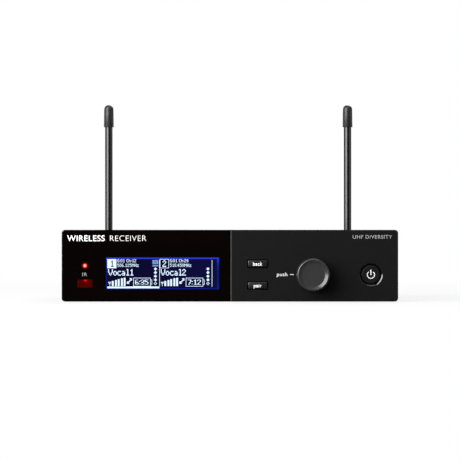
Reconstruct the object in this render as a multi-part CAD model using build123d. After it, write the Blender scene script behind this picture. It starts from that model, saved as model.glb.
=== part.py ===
from build123d import *
from math import cos, radians, sin
import os

# Half-rack wireless receiver with two whip antennas, in millimetres.
# +Z is up, -Y is the front panel and +X is to the right of someone facing the panel.
# The origin is under the middle of the whole object, on the plane that the feet stand on.

# ---- overall sizes ----
PANEL_W = 197.0
PANEL_H = 42.0
CASE_DEPTH = 128.0        # from the panel's face to the case's rear face
PANEL_CORNER_R = 2.0
FOOT_DROP = 0.4           # how far the feet reach below the panel's lower edge
CASE_STEP = 1.0           # how far the sheet-metal case stands in from the bezel's outline
SHEET = 1.0               # steel sheet of the tray and the cover
FIT = 0.15                # gap between sheet-metal parts that slide into each other
SNUG = 0.05               # radial gap of a pin, shank or rod in its hole

# ---- bezel and display window ----
BEZEL_WALL = 2.0
FRONT_WALL = 3.5
BEZEL_EDGE_R = 0.6
WINDOW_T = 2.0
WINDOW_SET_BACK = 0.15    # the window's face lies this far behind the bezel's face
MASK_T = 0.15
SEAM_X = 0.3              # where the window meets the textured half of the bezel
SEAM_GAP = 0.1
SEAM_BEVEL = 0.45
LCD_VIEW_W = 66.2
LCD_VIEW_H = 18.6
LCD_FROM_SEAM = 6.7       # from the seam to the right edge of the visible display
LCD_BELOW_MID = 4.5       # centre of the display, below the panel's middle
LCD_GLASS_MARGIN = 2.2
LCD_GLASS_T = 1.6
LCD_FRAME_MARGIN = 3.0
GASKET_T = 0.5
STATUS_FROM_LEFT = 13.5   # column of the status light and the infrared port, from the panel's left edge
LED_ABOVE_BOTTOM = 21.0
LED_R = 1.5
IR_ABOVE_BOTTOM = 10.5
IR_W = 8.7
IR_H = 4.6
FILTER_MARGIN = 0.7
FILTER_T = 1.0
IR_MODULE_W = 7.2
IR_MODULE_H = 4.4
IR_LENS_R = 1.3

# ---- front controls ----
CONTROL_ROW = 15.8        # height of the knob's and the power key's axes above the panel's lower edge
KEY_FROM_SEAM = 15.9
KEY_PITCH = 12.7          # between the back key and the pair key
KEY_W = 11.6
KEY_H = 4.3
KEY_GAP = 0.45
KEY_STANDS = 0.5          # the caps stand this far out of the panel
KEY_FLANGE_T = 0.8
KEY_STEM_R = 1.8
KNOB_FROM_RIGHT = 50.1
KNOB_R = 9.8
KNOB_DRAFT = 0.3
KNOB_STANDS = 13.0
KNOB_SKIRT_GAP = 1.1
KNOB_EDGE = 1.0
KNOB_DISH_R = 7.4
KNOB_DISH_DEPTH = 0.7
KNOB_WALL = 1.8
KNOB_HUB_WALL = 2.0
PUSH_TRAVEL = 0.6
POWER_FROM_RIGHT = 16.0
POWER_R = 5.45
POWER_STANDS = 0.1
POWER_GAP = 0.65
POWER_RING_W = 0.9
POWER_RING_T = 0.9
POWER_TRAVEL = 0.8

# ---- front board and its switches ----
BOARD_T = 1.6
FRONT_BOARD_INSET = 11.0
FRONT_BOARD_H = 33.0
BOARD_INSIDE = 3.0        # from the front board's back to the bezel's back edge
KEY_SPACE = 2.7           # depth behind the front wall for the keys' flanges and stems
SWITCH_SIZE = 6.0
SWITCH_T = 3.2
SWITCH_BORE_DEPTH = 2.4
PLUNGER_R = 1.6
SWITCH_BORE_R = PLUNGER_R + 0.15
ENCODER_SIZE = 12.0
BUSHING_STANDS = 2.7
ENCODER_NUT_T = 2.0
ENCODER_WASHER_T = 0.5
SHAFT_R = 3.0
BUSHING_R = SHAFT_R + 0.5
SHAFT_FLAT = 1.5          # depth of the flat that makes the shaft a D
SHAFT_REACH = 11.0
ROTOR_R = SHAFT_R + 1.4
ROTOR_T = 1.6

# ---- bosses and screws of the front ----
BOSS_INSET = 6.5
BOSS_R = 3.2
BOARD_BOSS_R = 2.4
SCREW_R = 1.45
SCREW_HEAD_R = 2.7
SCREW_HEAD_T = 1.6
SCREW_LENGTH = 7.0

# ---- case ----
LIP_H = 7.0
COVER_BEND_R = 1.2
FLANGE_RIM_X = 16.0       # width of the tray's front flange at each end of its opening
FLANGE_RIM_Z = 7.0
COVER_HEAD_T = 0.8        # low heads, which stay inside the bezel's outline
FOOT_R = 5.5
FOOT_INSET_X = 14.0
FOOT_INSET_Y = 12.0
EAR_HOLE_R = 1.65
EAR_PITCH_Y = 30.0
EAR_PITCH_Z = 18.0
EAR_FROM_BEZEL = 14.0
EAR_NUT_R = 3.4
EAR_NUT_T = 2.2
EAR_SHANK_R = 2.6
VENT_COUNT = 9
VENT_PITCH = 4.2
VENT_W = 1.8
VENT_H = 14.0
VENT_FROM_REAR = 16.0

# ---- main board ----
STANDOFF_H = 6.0
STANDOFF_R = 2.6
MAIN_BOARD_INSET = 2.5
BOARD_NOTCH_GAP = 0.6     # gap round the connector screws where they pass the board's rear edge
STANDOFF_FROM_SIDE = 12.0
STANDOFF_FROM_FRONT = 12.0
STANDOFF_FROM_REAR = 42.0
SHIELD_W = 34.0
SHIELD_L_MOST = 30.0
SHIELD_H = 6.0
SHIELD_WALL = 0.4
SHIELD_FROM_SIDE = 30.0   # from the panel's outer end to the middle of each can
SHIELD_FROM_SCREWS = 4.0   # least distance from a can to the middle of a board screw
CHIP_T = 1.4
PROCESSOR_SIZE = 17.0
PROCESSOR_X = 24.0
PROCESSOR_FROM_REAR = 56.0
SMALL_CHIP_SIZE = 8.0
SMALL_CHIP_FROM_REAR = 33.0
CAPACITOR_R = 3.9
CAPACITOR_H = 11.0
CAPACITOR_PITCH = 10.0
CAPACITOR_FROM_REAR = 28.0
RIBBON_W = 24.0
RIBBON_T = 0.4
RIBBON_BEND_R = 3.0
RIBBON_SOCKET_H = 3.0

# ---- rear connectors ----
ANTENNA_FROM_SIDE = 22.0
XLR_FLANGE_W = 26.0
XLR_FLANGE_H = 31.0
XLR_FLANGE_T = 1.8
XLR_BORE_R = 9.5
XLR_WALL = 1.5
XLR_DEPTH = 14.5
XLR_FLOOR = 2.0
XLR_PIN_R = 1.2
XLR_PIN_L = 11.5
XLR_PIN_PITCH = 5.4
XLR_SCREW_X = 9.5
XLR_SCREW_Z = 12.0
JACK_BORE_R = 3.2
JACK_THREAD_R = JACK_BORE_R + 1.4
JACK_STANDS = 4.2
JACK_BODY_W = 15.0
JACK_BODY_L = 26.0
JACK_NUT_R = JACK_THREAD_R + 1.8
JACK_NUT_T = 2.0
LAN_W = 16.0
LAN_H = 13.4
LAN_L = 21.0
LAN_STANDS = 0.5
LAN_MOUTH_W = 11.8
LAN_MOUTH_H = 8.2
LAN_MOUTH_DEPTH = 15.0
LAN_LED_W = 3.0
LAN_LED_H = 2.0
DC_W = 11.0
DC_H = 11.5
DC_L = 14.0
DC_BORE_R = 3.15
DC_PIN_R = 1.05
DC_DEPTH = 9.5
DC_STANDS = 0.6

# ---- antenna sockets, plugs and whips ----
SOCKET_R = 4.8
SOCKET_WALL = 0.75
SOCKET_BORE_R = SOCKET_R - SOCKET_WALL
SOCKET_STANDS = 11.0
SOCKET_BLOCK = 14.0
SOCKET_THREAD_R = SOCKET_R + 0.8
SOCKET_NUT_T = 2.0
SOCKET_NUT_AF = 2 * SOCKET_THREAD_R + 2.8
SOCKET_WASHER_T = 0.6
LUG_R = 1.0
LUG_STANDS = 0.95
LUG_TIP_R = SOCKET_R + LUG_STANDS
LUG_FROM_MOUTH = 4.4
RING_BORE_R = SOCKET_R + 0.2
RING_GROOVE_R = LUG_TIP_R + 0.25
RING_WALL = 1.2
RING_R = RING_GROOVE_R + RING_WALL
RING_L = 11.4
RING_CLEAR = 0.4
RING_WEB = 2.6
FERRULE_R = SOCKET_BORE_R - 0.1
FERRULE_WALL = 1.15
FERRULE_BORE_R = FERRULE_R - FERRULE_WALL
FERRULE_L = 6.0
CORE_R = FERRULE_BORE_R - 0.3
PLUG_SHANK_R = 3.6
PLUG_PIN_R = 0.68
CORE_HOLE_R = PLUG_PIN_R + 0.12
WHIP_AXIS_FROM_REAR = 24.5
ELBOW_R = 5.2
ELBOW_RISE = 18.0
ELBOW_SOCKET = 8.0
WHIP_R = 2.41
ELBOW_TOP_R = WHIP_R + 1.0
WHIP_TOP = 122.3          # height of the antenna's tip above the table
TIP_R = 3.2
TIP_TOP_R = 3.0
TIP_L = 14.2
TIP_SOCKET = 10.0

# ---- places that follow from the sizes ----
ANTENNA_REACH = WHIP_AXIS_FROM_REAR + ELBOW_R
FRONT_BOARD_D = FRONT_WALL + KEY_SPACE + SWITCH_T
BEZEL_DEPTH = FRONT_BOARD_D + BOARD_T + BOARD_INSIDE
FACE_Y = (KNOB_STANDS - CASE_DEPTH - ANTENNA_REACH) / 2
BEZEL_BACK_Y = FACE_Y + BEZEL_DEPTH
REAR_Y = FACE_Y + CASE_DEPTH
PANEL_Z0 = FOOT_DROP
PANEL_Z1 = PANEL_Z0 + PANEL_H
PANEL_MID_Z = (PANEL_Z0 + PANEL_Z1) / 2
CASE_X = PANEL_W / 2 - CASE_STEP
CASE_Z0 = PANEL_Z0 + CASE_STEP
CASE_Z1 = PANEL_Z1 - CASE_STEP
TRAY_X = CASE_X - SHEET - FIT
TRAY_Z1 = CASE_Z1 - SHEET - FIT
CONTROL_Z = PANEL_Z0 + CONTROL_ROW
LCD_X = SEAM_X - LCD_FROM_SEAM - LCD_VIEW_W / 2
LCD_Z = PANEL_MID_Z - LCD_BELOW_MID
STATUS_X = STATUS_FROM_LEFT - PANEL_W / 2
LED_Z = PANEL_Z0 + LED_ABOVE_BOTTOM
IR_Z = PANEL_Z0 + IR_ABOVE_BOTTOM
KEY_X = SEAM_X + KEY_FROM_SEAM
BACK_KEY_Z = CONTROL_Z + KEY_PITCH / 2
PAIR_KEY_Z = CONTROL_Z - KEY_PITCH / 2
KNOB_X = PANEL_W / 2 - KNOB_FROM_RIGHT
POWER_X = PANEL_W / 2 - POWER_FROM_RIGHT
WINDOW_Y = FACE_Y + WINDOW_SET_BACK
MASK_Y = WINDOW_Y + WINDOW_T
SEAT_Y = MASK_Y + MASK_T
WALL_BACK_Y = FACE_Y + FRONT_WALL
FRONT_BOARD_Y = FACE_Y + FRONT_BOARD_D
SWITCH_Y = FRONT_BOARD_Y - SWITCH_T
LCD_GLASS_Y = MASK_Y + MASK_T + GASKET_T
KEY_FLANGE_Y = WALL_BACK_Y + 0.3
MAIN_BOARD_Z = CASE_Z0 + SHEET + STANDOFF_H
BOARD_TOP_Z = MAIN_BOARD_Z + BOARD_T
ROW_Z = (CASE_Z0 + CASE_Z1) / 2
ANTENNA_X = PANEL_W / 2 - ANTENNA_FROM_SIDE
LAN_Z = BOARD_TOP_Z + LAN_H / 2
DC_Z = BOARD_TOP_Z + DC_H / 2
SOCKET_MOUTH_Y = REAR_Y + SOCKET_STANDS
LUG_Y = SOCKET_MOUTH_Y - LUG_FROM_MOUTH
RING_Y0 = REAR_Y + SOCKET_WASHER_T + SOCKET_NUT_T + RING_CLEAR
RING_Y1 = RING_Y0 + RING_L
WHIP_Y = REAR_Y + WHIP_AXIS_FROM_REAR
RIBBON_X = -40.0
RIBBON_Z = PANEL_MID_Z

BOSS_PLACES = [
    (sx * (PANEL_W / 2 - BOSS_INSET), PANEL_MID_Z + sz * (PANEL_H / 2 - BOSS_INSET))
    for sx in (-1, 1)
    for sz in (-1, 1)
]
BOARD_BOSS_PLACES = [
    (STATUS_X + 5.0, PANEL_MID_Z + FRONT_BOARD_H / 2 - 3.0),
    (POWER_X + 1.5, PANEL_MID_Z + FRONT_BOARD_H / 2 - 3.0),
    (SEAM_X + 3.7, PANEL_MID_Z - FRONT_BOARD_H / 2 + 3.0),
    ((KNOB_X + POWER_X) / 2, PANEL_MID_Z - FRONT_BOARD_H / 2 + 3.0),
]
STANDOFF_Y0 = BEZEL_BACK_Y + STANDOFF_FROM_FRONT
STANDOFF_Y1 = REAR_Y - STANDOFF_FROM_REAR
STANDOFF_PLACES = [
    (x, y)
    for x in (-TRAY_X + STANDOFF_FROM_SIDE, 0.0, TRAY_X - STANDOFF_FROM_SIDE)
    for y in (STANDOFF_Y0, STANDOFF_Y1)
]
SHIELD_Y = (STANDOFF_Y0 + STANDOFF_Y1) / 2
SHIELD_L = min(SHIELD_L_MOST, STANDOFF_Y1 - STANDOFF_Y0 - 2 * SHIELD_FROM_SCREWS)


def rear_row():
    """Centres of the connectors between the antennas, evenly spaced, from left to right seen from the front."""
    widths = {
        "lan": LAN_W,
        "jack_2": JACK_BODY_W,
        "xlr_2": XLR_FLANGE_W,
        "jack_1": JACK_BODY_W,
        "xlr_1": XLR_FLANGE_W,
        "dc": DC_W,
    }
    left = -ANTENNA_X + SOCKET_NUT_AF / 2 + 1.0
    gap = (-2 * left - sum(widths.values())) / (len(widths) + 1)
    centres = {}
    x = left
    for name, width in widths.items():
        centres[name] = x + gap + width / 2
        x += gap + width
    return centres


ROW_X = rear_row()


# ---- building blocks ----
def block(x0, x1, y0, y1, z0, z1):
    """A box between two corners."""
    middle = Pos((x0 + x1) / 2, (y0 + y1) / 2, (z0 + z1) / 2)
    return middle * Box(x1 - x0, y1 - y0, z1 - z0)


def rod(x, z, radius, y0, y1):
    """A round bar that runs front to back."""
    return Pos(x, (y0 + y1) / 2, z) * Rot(90, 0, 0) * Cylinder(radius, y1 - y0)


def post(x, y, radius, z0, z1):
    """A round bar that stands up."""
    return Pos(x, y, (z0 + z1) / 2) * Cylinder(radius, z1 - z0)


def facing(y):
    """A drawing plane that faces the front, at that depth."""
    return Plane(origin=(0, y, 0), x_dir=(1, 0, 0), z_dir=(0, -1, 0))


def run_back(sketch, y0, y1):
    """A flat outline, drawn as seen from the front, run from y0 back to y1."""
    return extrude(facing(y0) * sketch, amount=y1 - y0, dir=(0, 1, 0))


def slab(x, z, width, height, corner, y0, y1):
    """A plate with rounded corners, seen from the front."""
    return run_back(Pos(x, z) * RectangleRounded(width, height, corner), y0, y1)


def hexagon(x, z, across_flats, y0, y1):
    """A hexagonal prism that runs front to back."""
    outline = RegularPolygon(across_flats / 2, 6, major_radius=False)
    return run_back(Pos(x, z) * outline, y0, y1)


def turned(points, x, z):
    """A turned part about a front-to-back axis. Each point is (radius, y)."""
    outline = make_face(Polyline(*points, close=True))
    return Pos(x, 0, z) * revolve(outline, Axis.Y)


def turned_upright(points, x, y):
    """A turned part about an upright axis. Each point is (radius, z)."""
    outline = make_face(Plane.XZ * Polyline(*points, close=True))
    return Pos(x, y, 0) * revolve(outline, Axis.Z)


def screw(x, z, y_seat, direction, length, head_t=SCREW_HEAD_T):
    """A pan-head screw. Its head stands on y_seat and its shank runs in the direction, 1 for +Y."""
    head = rod(x, z, SCREW_HEAD_R, *sorted((y_seat, y_seat - direction * head_t)))
    rim = head.edges().filter_by(GeomType.CIRCLE).sort_by(Axis.Y)
    head = fillet(rim[0] if direction > 0 else rim[-1], head_t * 0.45)
    shank = rod(x, z, SCREW_R, *sorted((y_seat, y_seat + direction * length)))
    return head + shank


# ---- front bezel, window and display ----
def key_hole(x, z, y0, y1):
    return slab(x, z, KEY_W + 2 * KEY_GAP, KEY_H + 2 * KEY_GAP, 0.8, y0, y1)


def front_bezel():
    outer = slab(0, PANEL_MID_Z, PANEL_W, PANEL_H, PANEL_CORNER_R, FACE_Y, BEZEL_BACK_Y)
    outer = fillet(outer.faces().sort_by(Axis.Y)[0].edges(), BEZEL_EDGE_R)
    inside = slab(
        0,
        PANEL_MID_Z,
        PANEL_W - 2 * BEZEL_WALL,
        PANEL_H - 2 * BEZEL_WALL,
        0.8,
        WALL_BACK_Y,
        BEZEL_BACK_Y + 1,
    )
    body = outer - inside
    for x, z in BOSS_PLACES:
        body += rod(x, z, BOSS_R, WALL_BACK_Y - 0.5, BEZEL_BACK_Y)
    for x, z in BOARD_BOSS_PLACES:
        body += rod(x, z, BOARD_BOSS_R, WALL_BACK_Y - 0.5, FRONT_BOARD_Y)
    window_seat = block(-PANEL_W, SEAM_X, FACE_Y - 1, SEAT_Y, -PANEL_H, 2 * PANEL_H)
    body -= window_seat
    seam = body.edges().filter_by(Axis.Z)
    seam = seam.filter_by(lambda e: abs(e.center().X - SEAM_X) < 0.01 and abs(e.center().Y - FACE_Y) < 0.01)
    body = chamfer(seam, SEAM_BEVEL)
    front = FACE_Y - 1
    back = WALL_BACK_Y + 1
    glass_w = LCD_VIEW_W + 2 * LCD_GLASS_MARGIN
    glass_h = LCD_VIEW_H + 2 * LCD_GLASS_MARGIN
    body -= slab(LCD_X, LCD_Z, glass_w + 0.6, glass_h + 0.6, 0.8, front, back)
    body -= rod(STATUS_X, LED_Z, LED_R + 0.3, front, back)
    filter_w = IR_W + 2 * FILTER_MARGIN
    filter_h = IR_H + 2 * FILTER_MARGIN
    body -= slab(STATUS_X, IR_Z, filter_w + 2 * SNUG, filter_h + 2 * SNUG, 0.5, front, SEAT_Y + FILTER_T + SNUG)
    body -= slab(STATUS_X, IR_Z, IR_W, IR_H, 0.5, front, back)
    for z in (BACK_KEY_Z, PAIR_KEY_Z):
        body -= key_hole(KEY_X, z, front, back)
    body -= rod(POWER_X, CONTROL_Z, POWER_R + POWER_GAP, front, back)
    ring_seat_r = POWER_R + POWER_GAP + POWER_RING_W
    body -= rod(POWER_X, CONTROL_Z, ring_seat_r + SNUG, front, FACE_Y + POWER_RING_T)
    body -= rod(KNOB_X, CONTROL_Z, BUSHING_R + 0.1, front, back)
    for x, z in BOSS_PLACES:
        body -= rod(x, z, SCREW_R + SNUG, BEZEL_BACK_Y - SCREW_LENGTH, BEZEL_BACK_Y + 1)
    for x, z in BOARD_BOSS_PLACES:
        body -= rod(x, z, SCREW_R + SNUG, FRONT_BOARD_Y - SCREW_LENGTH + 1.5, FRONT_BOARD_Y + 1)
    return body


def window_outline(right_edge):
    """The left half of the panel, with rounded corners at its outer end."""
    left_edge = -PANEL_W / 2
    sheet = Pos((left_edge + right_edge) / 2, PANEL_MID_Z) * Rectangle(right_edge - left_edge, PANEL_H)
    return fillet(sheet.vertices().sort_by(Axis.X)[:2], PANEL_CORNER_R)


def display_window():
    right_edge = SEAM_X - SEAM_GAP
    plate = run_back(window_outline(right_edge), WINDOW_Y, MASK_Y)
    rim = plate.faces().sort_by(Axis.Y)[0].edges()
    outer_rim = rim.filter_by(lambda e: e.center().X < right_edge - 0.01)
    return fillet(outer_rim, BEZEL_EDGE_R)


def display_mask():
    """The black printed film behind the window. It is open at the display, the light and the infrared port."""
    film = run_back(window_outline(SEAM_X - SEAM_GAP), MASK_Y, SEAT_Y)
    film -= block(
        LCD_X - LCD_VIEW_W / 2,
        LCD_X + LCD_VIEW_W / 2,
        MASK_Y - 1,
        SEAT_Y + 1,
        LCD_Z - LCD_VIEW_H / 2,
        LCD_Z + LCD_VIEW_H / 2,
    )
    film -= rod(STATUS_X, LED_Z, LED_R, MASK_Y - 1, SEAT_Y + 1)
    film -= slab(STATUS_X, IR_Z, IR_W, IR_H, 0.4, MASK_Y - 1, SEAT_Y + 1)
    return film


def lcd_gasket():
    """The foam frame between the mask and the display glass."""
    outer_w = LCD_VIEW_W + 2 * LCD_GLASS_MARGIN
    outer_h = LCD_VIEW_H + 2 * LCD_GLASS_MARGIN
    ring = slab(LCD_X, LCD_Z, outer_w, outer_h, 0.5, SEAT_Y, LCD_GLASS_Y)
    return ring - slab(LCD_X, LCD_Z, LCD_VIEW_W + 0.4, LCD_VIEW_H + 0.4, 0.1, SEAT_Y - 1, LCD_GLASS_Y + 1)


def lcd_glass():
    width = LCD_VIEW_W + 2 * LCD_GLASS_MARGIN
    height = LCD_VIEW_H + 2 * LCD_GLASS_MARGIN
    return slab(LCD_X, LCD_Z, width, height, 0.3, LCD_GLASS_Y, LCD_GLASS_Y + LCD_GLASS_T)


def lcd_frame():
    """The backlight tray that carries the glass and stands on the front board."""
    width = LCD_VIEW_W + 2 * (LCD_GLASS_MARGIN + LCD_FRAME_MARGIN / 2)
    height = LCD_VIEW_H + 2 * (LCD_GLASS_MARGIN + LCD_FRAME_MARGIN / 2)
    back = LCD_GLASS_Y + LCD_GLASS_T
    front = max(WALL_BACK_Y + 0.1, LCD_GLASS_Y + 0.2)
    tray = slab(LCD_X, LCD_Z, width, height, 0.8, front, FRONT_BOARD_Y)
    pocket_w = LCD_VIEW_W + 2 * LCD_GLASS_MARGIN + 0.2
    pocket_h = LCD_VIEW_H + 2 * LCD_GLASS_MARGIN + 0.2
    tray -= slab(LCD_X, LCD_Z, pocket_w, pocket_h, 0.3, front - 1, back)
    return tray


def status_led():
    """A round red light-emitting diode that stands on the front board and shines through the mask."""
    dome_y = SEAT_Y + 0.2
    shoulder_y = dome_y + LED_R
    stem = rod(STATUS_X, LED_Z, LED_R, shoulder_y, FRONT_BOARD_Y)
    dome = Pos(STATUS_X, shoulder_y, LED_Z) * Sphere(LED_R)
    collar = rod(STATUS_X, LED_Z, LED_R + 0.4, FRONT_BOARD_Y - 1.0, FRONT_BOARD_Y)
    return stem + dome + collar


def ir_filter():
    return slab(STATUS_X, IR_Z, IR_W + 2 * FILTER_MARGIN, IR_H + 2 * FILTER_MARGIN, 0.4, SEAT_Y, SEAT_Y + FILTER_T)


def ir_transceiver():
    """The infrared sender and receiver, side by side, with a lens on each."""
    front = WALL_BACK_Y + 1.6
    body = slab(STATUS_X, IR_Z, IR_MODULE_W, IR_MODULE_H, 0.4, front, FRONT_BOARD_Y)
    for side in (-1, 1):
        body += Pos(STATUS_X + side * IR_MODULE_W / 4, front, IR_Z) * Sphere(IR_LENS_R)
    return body


# ---- keys ----
def key_cap(z):
    """A push key: a bevelled cap in the panel's hole, a flange that keeps it in, and a stem to its switch."""
    front = FACE_Y - KEY_STANDS
    cap = slab(KEY_X, z, KEY_W, KEY_H, 0.5, front, KEY_FLANGE_Y)
    cap = chamfer(cap.faces().sort_by(Axis.Y)[0].edges(), 0.35)
    flange = slab(KEY_X, z, KEY_W + 2.0, KEY_H + 2.0, 0.6, KEY_FLANGE_Y, KEY_FLANGE_Y + KEY_FLANGE_T)
    stem = rod(KEY_X, z, KEY_STEM_R, KEY_FLANGE_Y + KEY_FLANGE_T, plunger_front())
    return cap + flange + stem


def plunger_front():
    """The depth at which a key's stem meets its switch's plunger."""
    return SWITCH_Y - POWER_TRAVEL - 0.2


def power_cap():
    front = FACE_Y - POWER_STANDS
    cap = rod(POWER_X, CONTROL_Z, POWER_R, front, KEY_FLANGE_Y)
    cap = fillet(cap.edges().filter_by(GeomType.CIRCLE).sort_by(Axis.Y)[0], 0.3)
    flange = rod(POWER_X, CONTROL_Z, POWER_R + POWER_GAP + 0.8, KEY_FLANGE_Y, KEY_FLANGE_Y + KEY_FLANGE_T)
    stem = rod(POWER_X, CONTROL_Z, KEY_STEM_R, KEY_FLANGE_Y + KEY_FLANGE_T, plunger_front())
    return cap + flange + stem


def power_ring():
    """The polished ring around the power key. Its inner edge is bevelled towards the key."""
    inner = POWER_R + POWER_GAP
    outer = inner + POWER_RING_W
    points = [
        (inner, FACE_Y + POWER_RING_T),
        (outer, FACE_Y + POWER_RING_T),
        (outer, FACE_Y),
        (outer - 0.1, FACE_Y),
        (inner, FACE_Y + POWER_RING_T * 0.7),
    ]
    return turned(points, POWER_X, CONTROL_Z)


def switch_body(x, z):
    """A tactile switch on the front board, bored for its plunger."""
    half = SWITCH_SIZE / 2
    body = block(x - half, x + half, SWITCH_Y, FRONT_BOARD_Y, z - half, z + half)
    return body - rod(x, z, SWITCH_BORE_R, SWITCH_Y - 1, SWITCH_Y + SWITCH_BORE_DEPTH)


def plunger(x, z):
    return rod(x, z, PLUNGER_R, plunger_front(), SWITCH_Y + SWITCH_BORE_DEPTH - POWER_TRAVEL - 0.3)


# ---- encoder and knob ----
def shaft_section(radius, grow):
    """A D: a circle with one flat side, which grows by the same gap all round."""
    circle = Circle(radius + grow)
    flat = radius - SHAFT_FLAT + grow
    return circle - Pos(0, flat + radius) * Rectangle(4 * radius, 2 * radius)


def encoder_body():
    half = ENCODER_SIZE / 2
    front = WALL_BACK_Y
    body = block(KNOB_X - half, KNOB_X + half, front, FRONT_BOARD_Y, CONTROL_Z - half, CONTROL_Z + half)
    body += rod(KNOB_X, CONTROL_Z, BUSHING_R, FACE_Y - BUSHING_STANDS, front)
    body -= rod(KNOB_X, CONTROL_Z, SHAFT_R + 0.06, FACE_Y - BUSHING_STANDS - 1, rotor_y() + ROTOR_T)
    body -= rod(KNOB_X, CONTROL_Z, ROTOR_R + 0.2, rotor_y() - 0.2, rotor_y() + ROTOR_T + PUSH_TRAVEL + 0.9)
    return body


def rotor_y():
    return WALL_BACK_Y + 1.4


def encoder_rotor():
    """The contact disc inside the encoder, which turns with the shaft and lets it slide through."""
    disc = rod(KNOB_X, CONTROL_Z, ROTOR_R, rotor_y(), rotor_y() + ROTOR_T)
    hole = run_back(Pos(KNOB_X, CONTROL_Z) * shaft_section(SHAFT_R, 0.06), rotor_y() - 1, rotor_y() + ROTOR_T + 1)
    return disc - hole


def encoder_shaft():
    front = FACE_Y - SHAFT_REACH
    back = rotor_y() + ROTOR_T + 0.2
    bar = run_back(Pos(KNOB_X, CONTROL_Z) * shaft_section(SHAFT_R, 0.0), front, back)
    return bar


def encoder_nut():
    """The nut and washer that clamp the encoder's bushing to the bezel, under the knob."""
    washer = rod(KNOB_X, CONTROL_Z, BUSHING_R + 2.2, FACE_Y - ENCODER_WASHER_T, FACE_Y)
    nut = hexagon(KNOB_X, CONTROL_Z, 2 * BUSHING_R + 3.0, FACE_Y - ENCODER_WASHER_T - ENCODER_NUT_T, FACE_Y - ENCODER_WASHER_T)
    bore = rod(KNOB_X, CONTROL_Z, BUSHING_R + SNUG, FACE_Y - BUSHING_STANDS - 2, FACE_Y + 1)
    return washer + nut - bore


def control_knob():
    """A round knob with a dished face. Its skirt hides the nut and its hub grips the D shaft."""
    face = FACE_Y - KNOB_STANDS
    skirt = FACE_Y - KNOB_SKIRT_GAP
    cavity_end = FACE_Y - BUSHING_STANDS - 2.0
    top_r = KNOB_R - KNOB_DRAFT
    crest = top_r - KNOB_EDGE
    dish = face + KNOB_DISH_DEPTH
    with BuildPart() as knob:
        with BuildSketch(Plane.XY):
            with BuildLine():
                Polyline((0, cavity_end), (0, dish), (KNOB_DISH_R, dish), (crest, face))
                ThreePointArc(
                    (crest, face),
                    (crest + KNOB_EDGE * sin(radians(45)), face + KNOB_EDGE * (1 - cos(radians(45)))),
                    (top_r, face + KNOB_EDGE),
                )
                Polyline(
                    (top_r, face + KNOB_EDGE),
                    (KNOB_R, skirt),
                    (KNOB_R - KNOB_WALL, skirt),
                    (KNOB_R - KNOB_WALL, cavity_end),
                    (0, cavity_end),
                )
            make_face()
        revolve(axis=Axis.Y)
    body = Pos(KNOB_X, 0, CONTROL_Z) * knob.part
    hub = rod(KNOB_X, CONTROL_Z, SHAFT_R + KNOB_HUB_WALL, cavity_end - 0.5, cavity_end + 0.4)
    bore = run_back(Pos(KNOB_X, CONTROL_Z) * shaft_section(SHAFT_R, 0.03), FACE_Y - SHAFT_REACH - 0.05, FACE_Y)
    return body + hub - bore


# ---- front board ----
def front_board():
    half = PANEL_W / 2 - FRONT_BOARD_INSET
    board = slab(0, PANEL_MID_Z, 2 * half, FRONT_BOARD_H, 1.0, FRONT_BOARD_Y, FRONT_BOARD_Y + BOARD_T)
    for x, z in BOARD_BOSS_PLACES:
        board -= rod(x, z, SCREW_R + 0.15, FRONT_BOARD_Y - 1, FRONT_BOARD_Y + BOARD_T + 1)
    return board


def bezel_screws():
    """Four screws hold the bezel to the tray's front flange, and four hold the front board to the bezel."""
    flange = BEZEL_BACK_Y + SHEET
    board = FRONT_BOARD_Y + BOARD_T
    made = [screw(x, z, flange, -1, SCREW_LENGTH) for x, z in BOSS_PLACES]
    return made + [screw(x, z, board, -1, SCREW_LENGTH - 1.5) for x, z in BOARD_BOSS_PLACES]


# ---- ribbon between the two boards ----
def ribbon_turn_y():
    return BEZEL_BACK_Y + 8.0


def ribbon_cable():
    """A flat cable that leaves the front board straight back, bends down and enters the main board's socket."""
    start = FRONT_BOARD_Y + BOARD_T + RIBBON_SOCKET_H
    bend_y = ribbon_turn_y() - RIBBON_BEND_R
    top = RIBBON_Z + RIBBON_T / 2
    low = BOARD_TOP_Z + RIBBON_SOCKET_H
    flat = Pos((start + bend_y) / 2, RIBBON_Z) * Rectangle(bend_y - start, RIBBON_T)
    centre_z = top - RIBBON_BEND_R
    turn = Circle(RIBBON_BEND_R) - Circle(RIBBON_BEND_R - RIBBON_T)
    turn = turn & Pos(RIBBON_BEND_R, RIBBON_BEND_R) * Rectangle(2 * RIBBON_BEND_R, 2 * RIBBON_BEND_R)
    turn = Pos(bend_y, centre_z) * turn
    drop_y = bend_y + RIBBON_BEND_R - RIBBON_T / 2
    drop = Pos(drop_y, (low + centre_z) / 2) * Rectangle(RIBBON_T, centre_z - low)
    outline = Plane.YZ * (flat + turn + drop)
    return Pos(RIBBON_X, 0, 0) * extrude(outline, amount=RIBBON_W / 2, both=True)


def ribbon_sockets():
    half = RIBBON_W / 2 + 1.5
    back = FRONT_BOARD_Y + BOARD_T
    upper = block(RIBBON_X - half, RIBBON_X + half, back, back + RIBBON_SOCKET_H, RIBBON_Z - 2, RIBBON_Z + 2)
    drop_y = ribbon_turn_y() - RIBBON_T / 2
    lower = block(RIBBON_X - half, RIBBON_X + half, drop_y - 2, drop_y + 2, BOARD_TOP_Z, BOARD_TOP_Z + RIBBON_SOCKET_H)
    return [upper, lower]


# ---- sheet-metal case ----
def side_screw_places():
    """Where the cover is screwed to the tray's lips, on each side."""
    z = CASE_Z0 + SHEET + (LIP_H - SHEET) / 2
    return [(y, z) for y in (BEZEL_BACK_Y + 9.0, REAR_Y - 9.0)]


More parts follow.
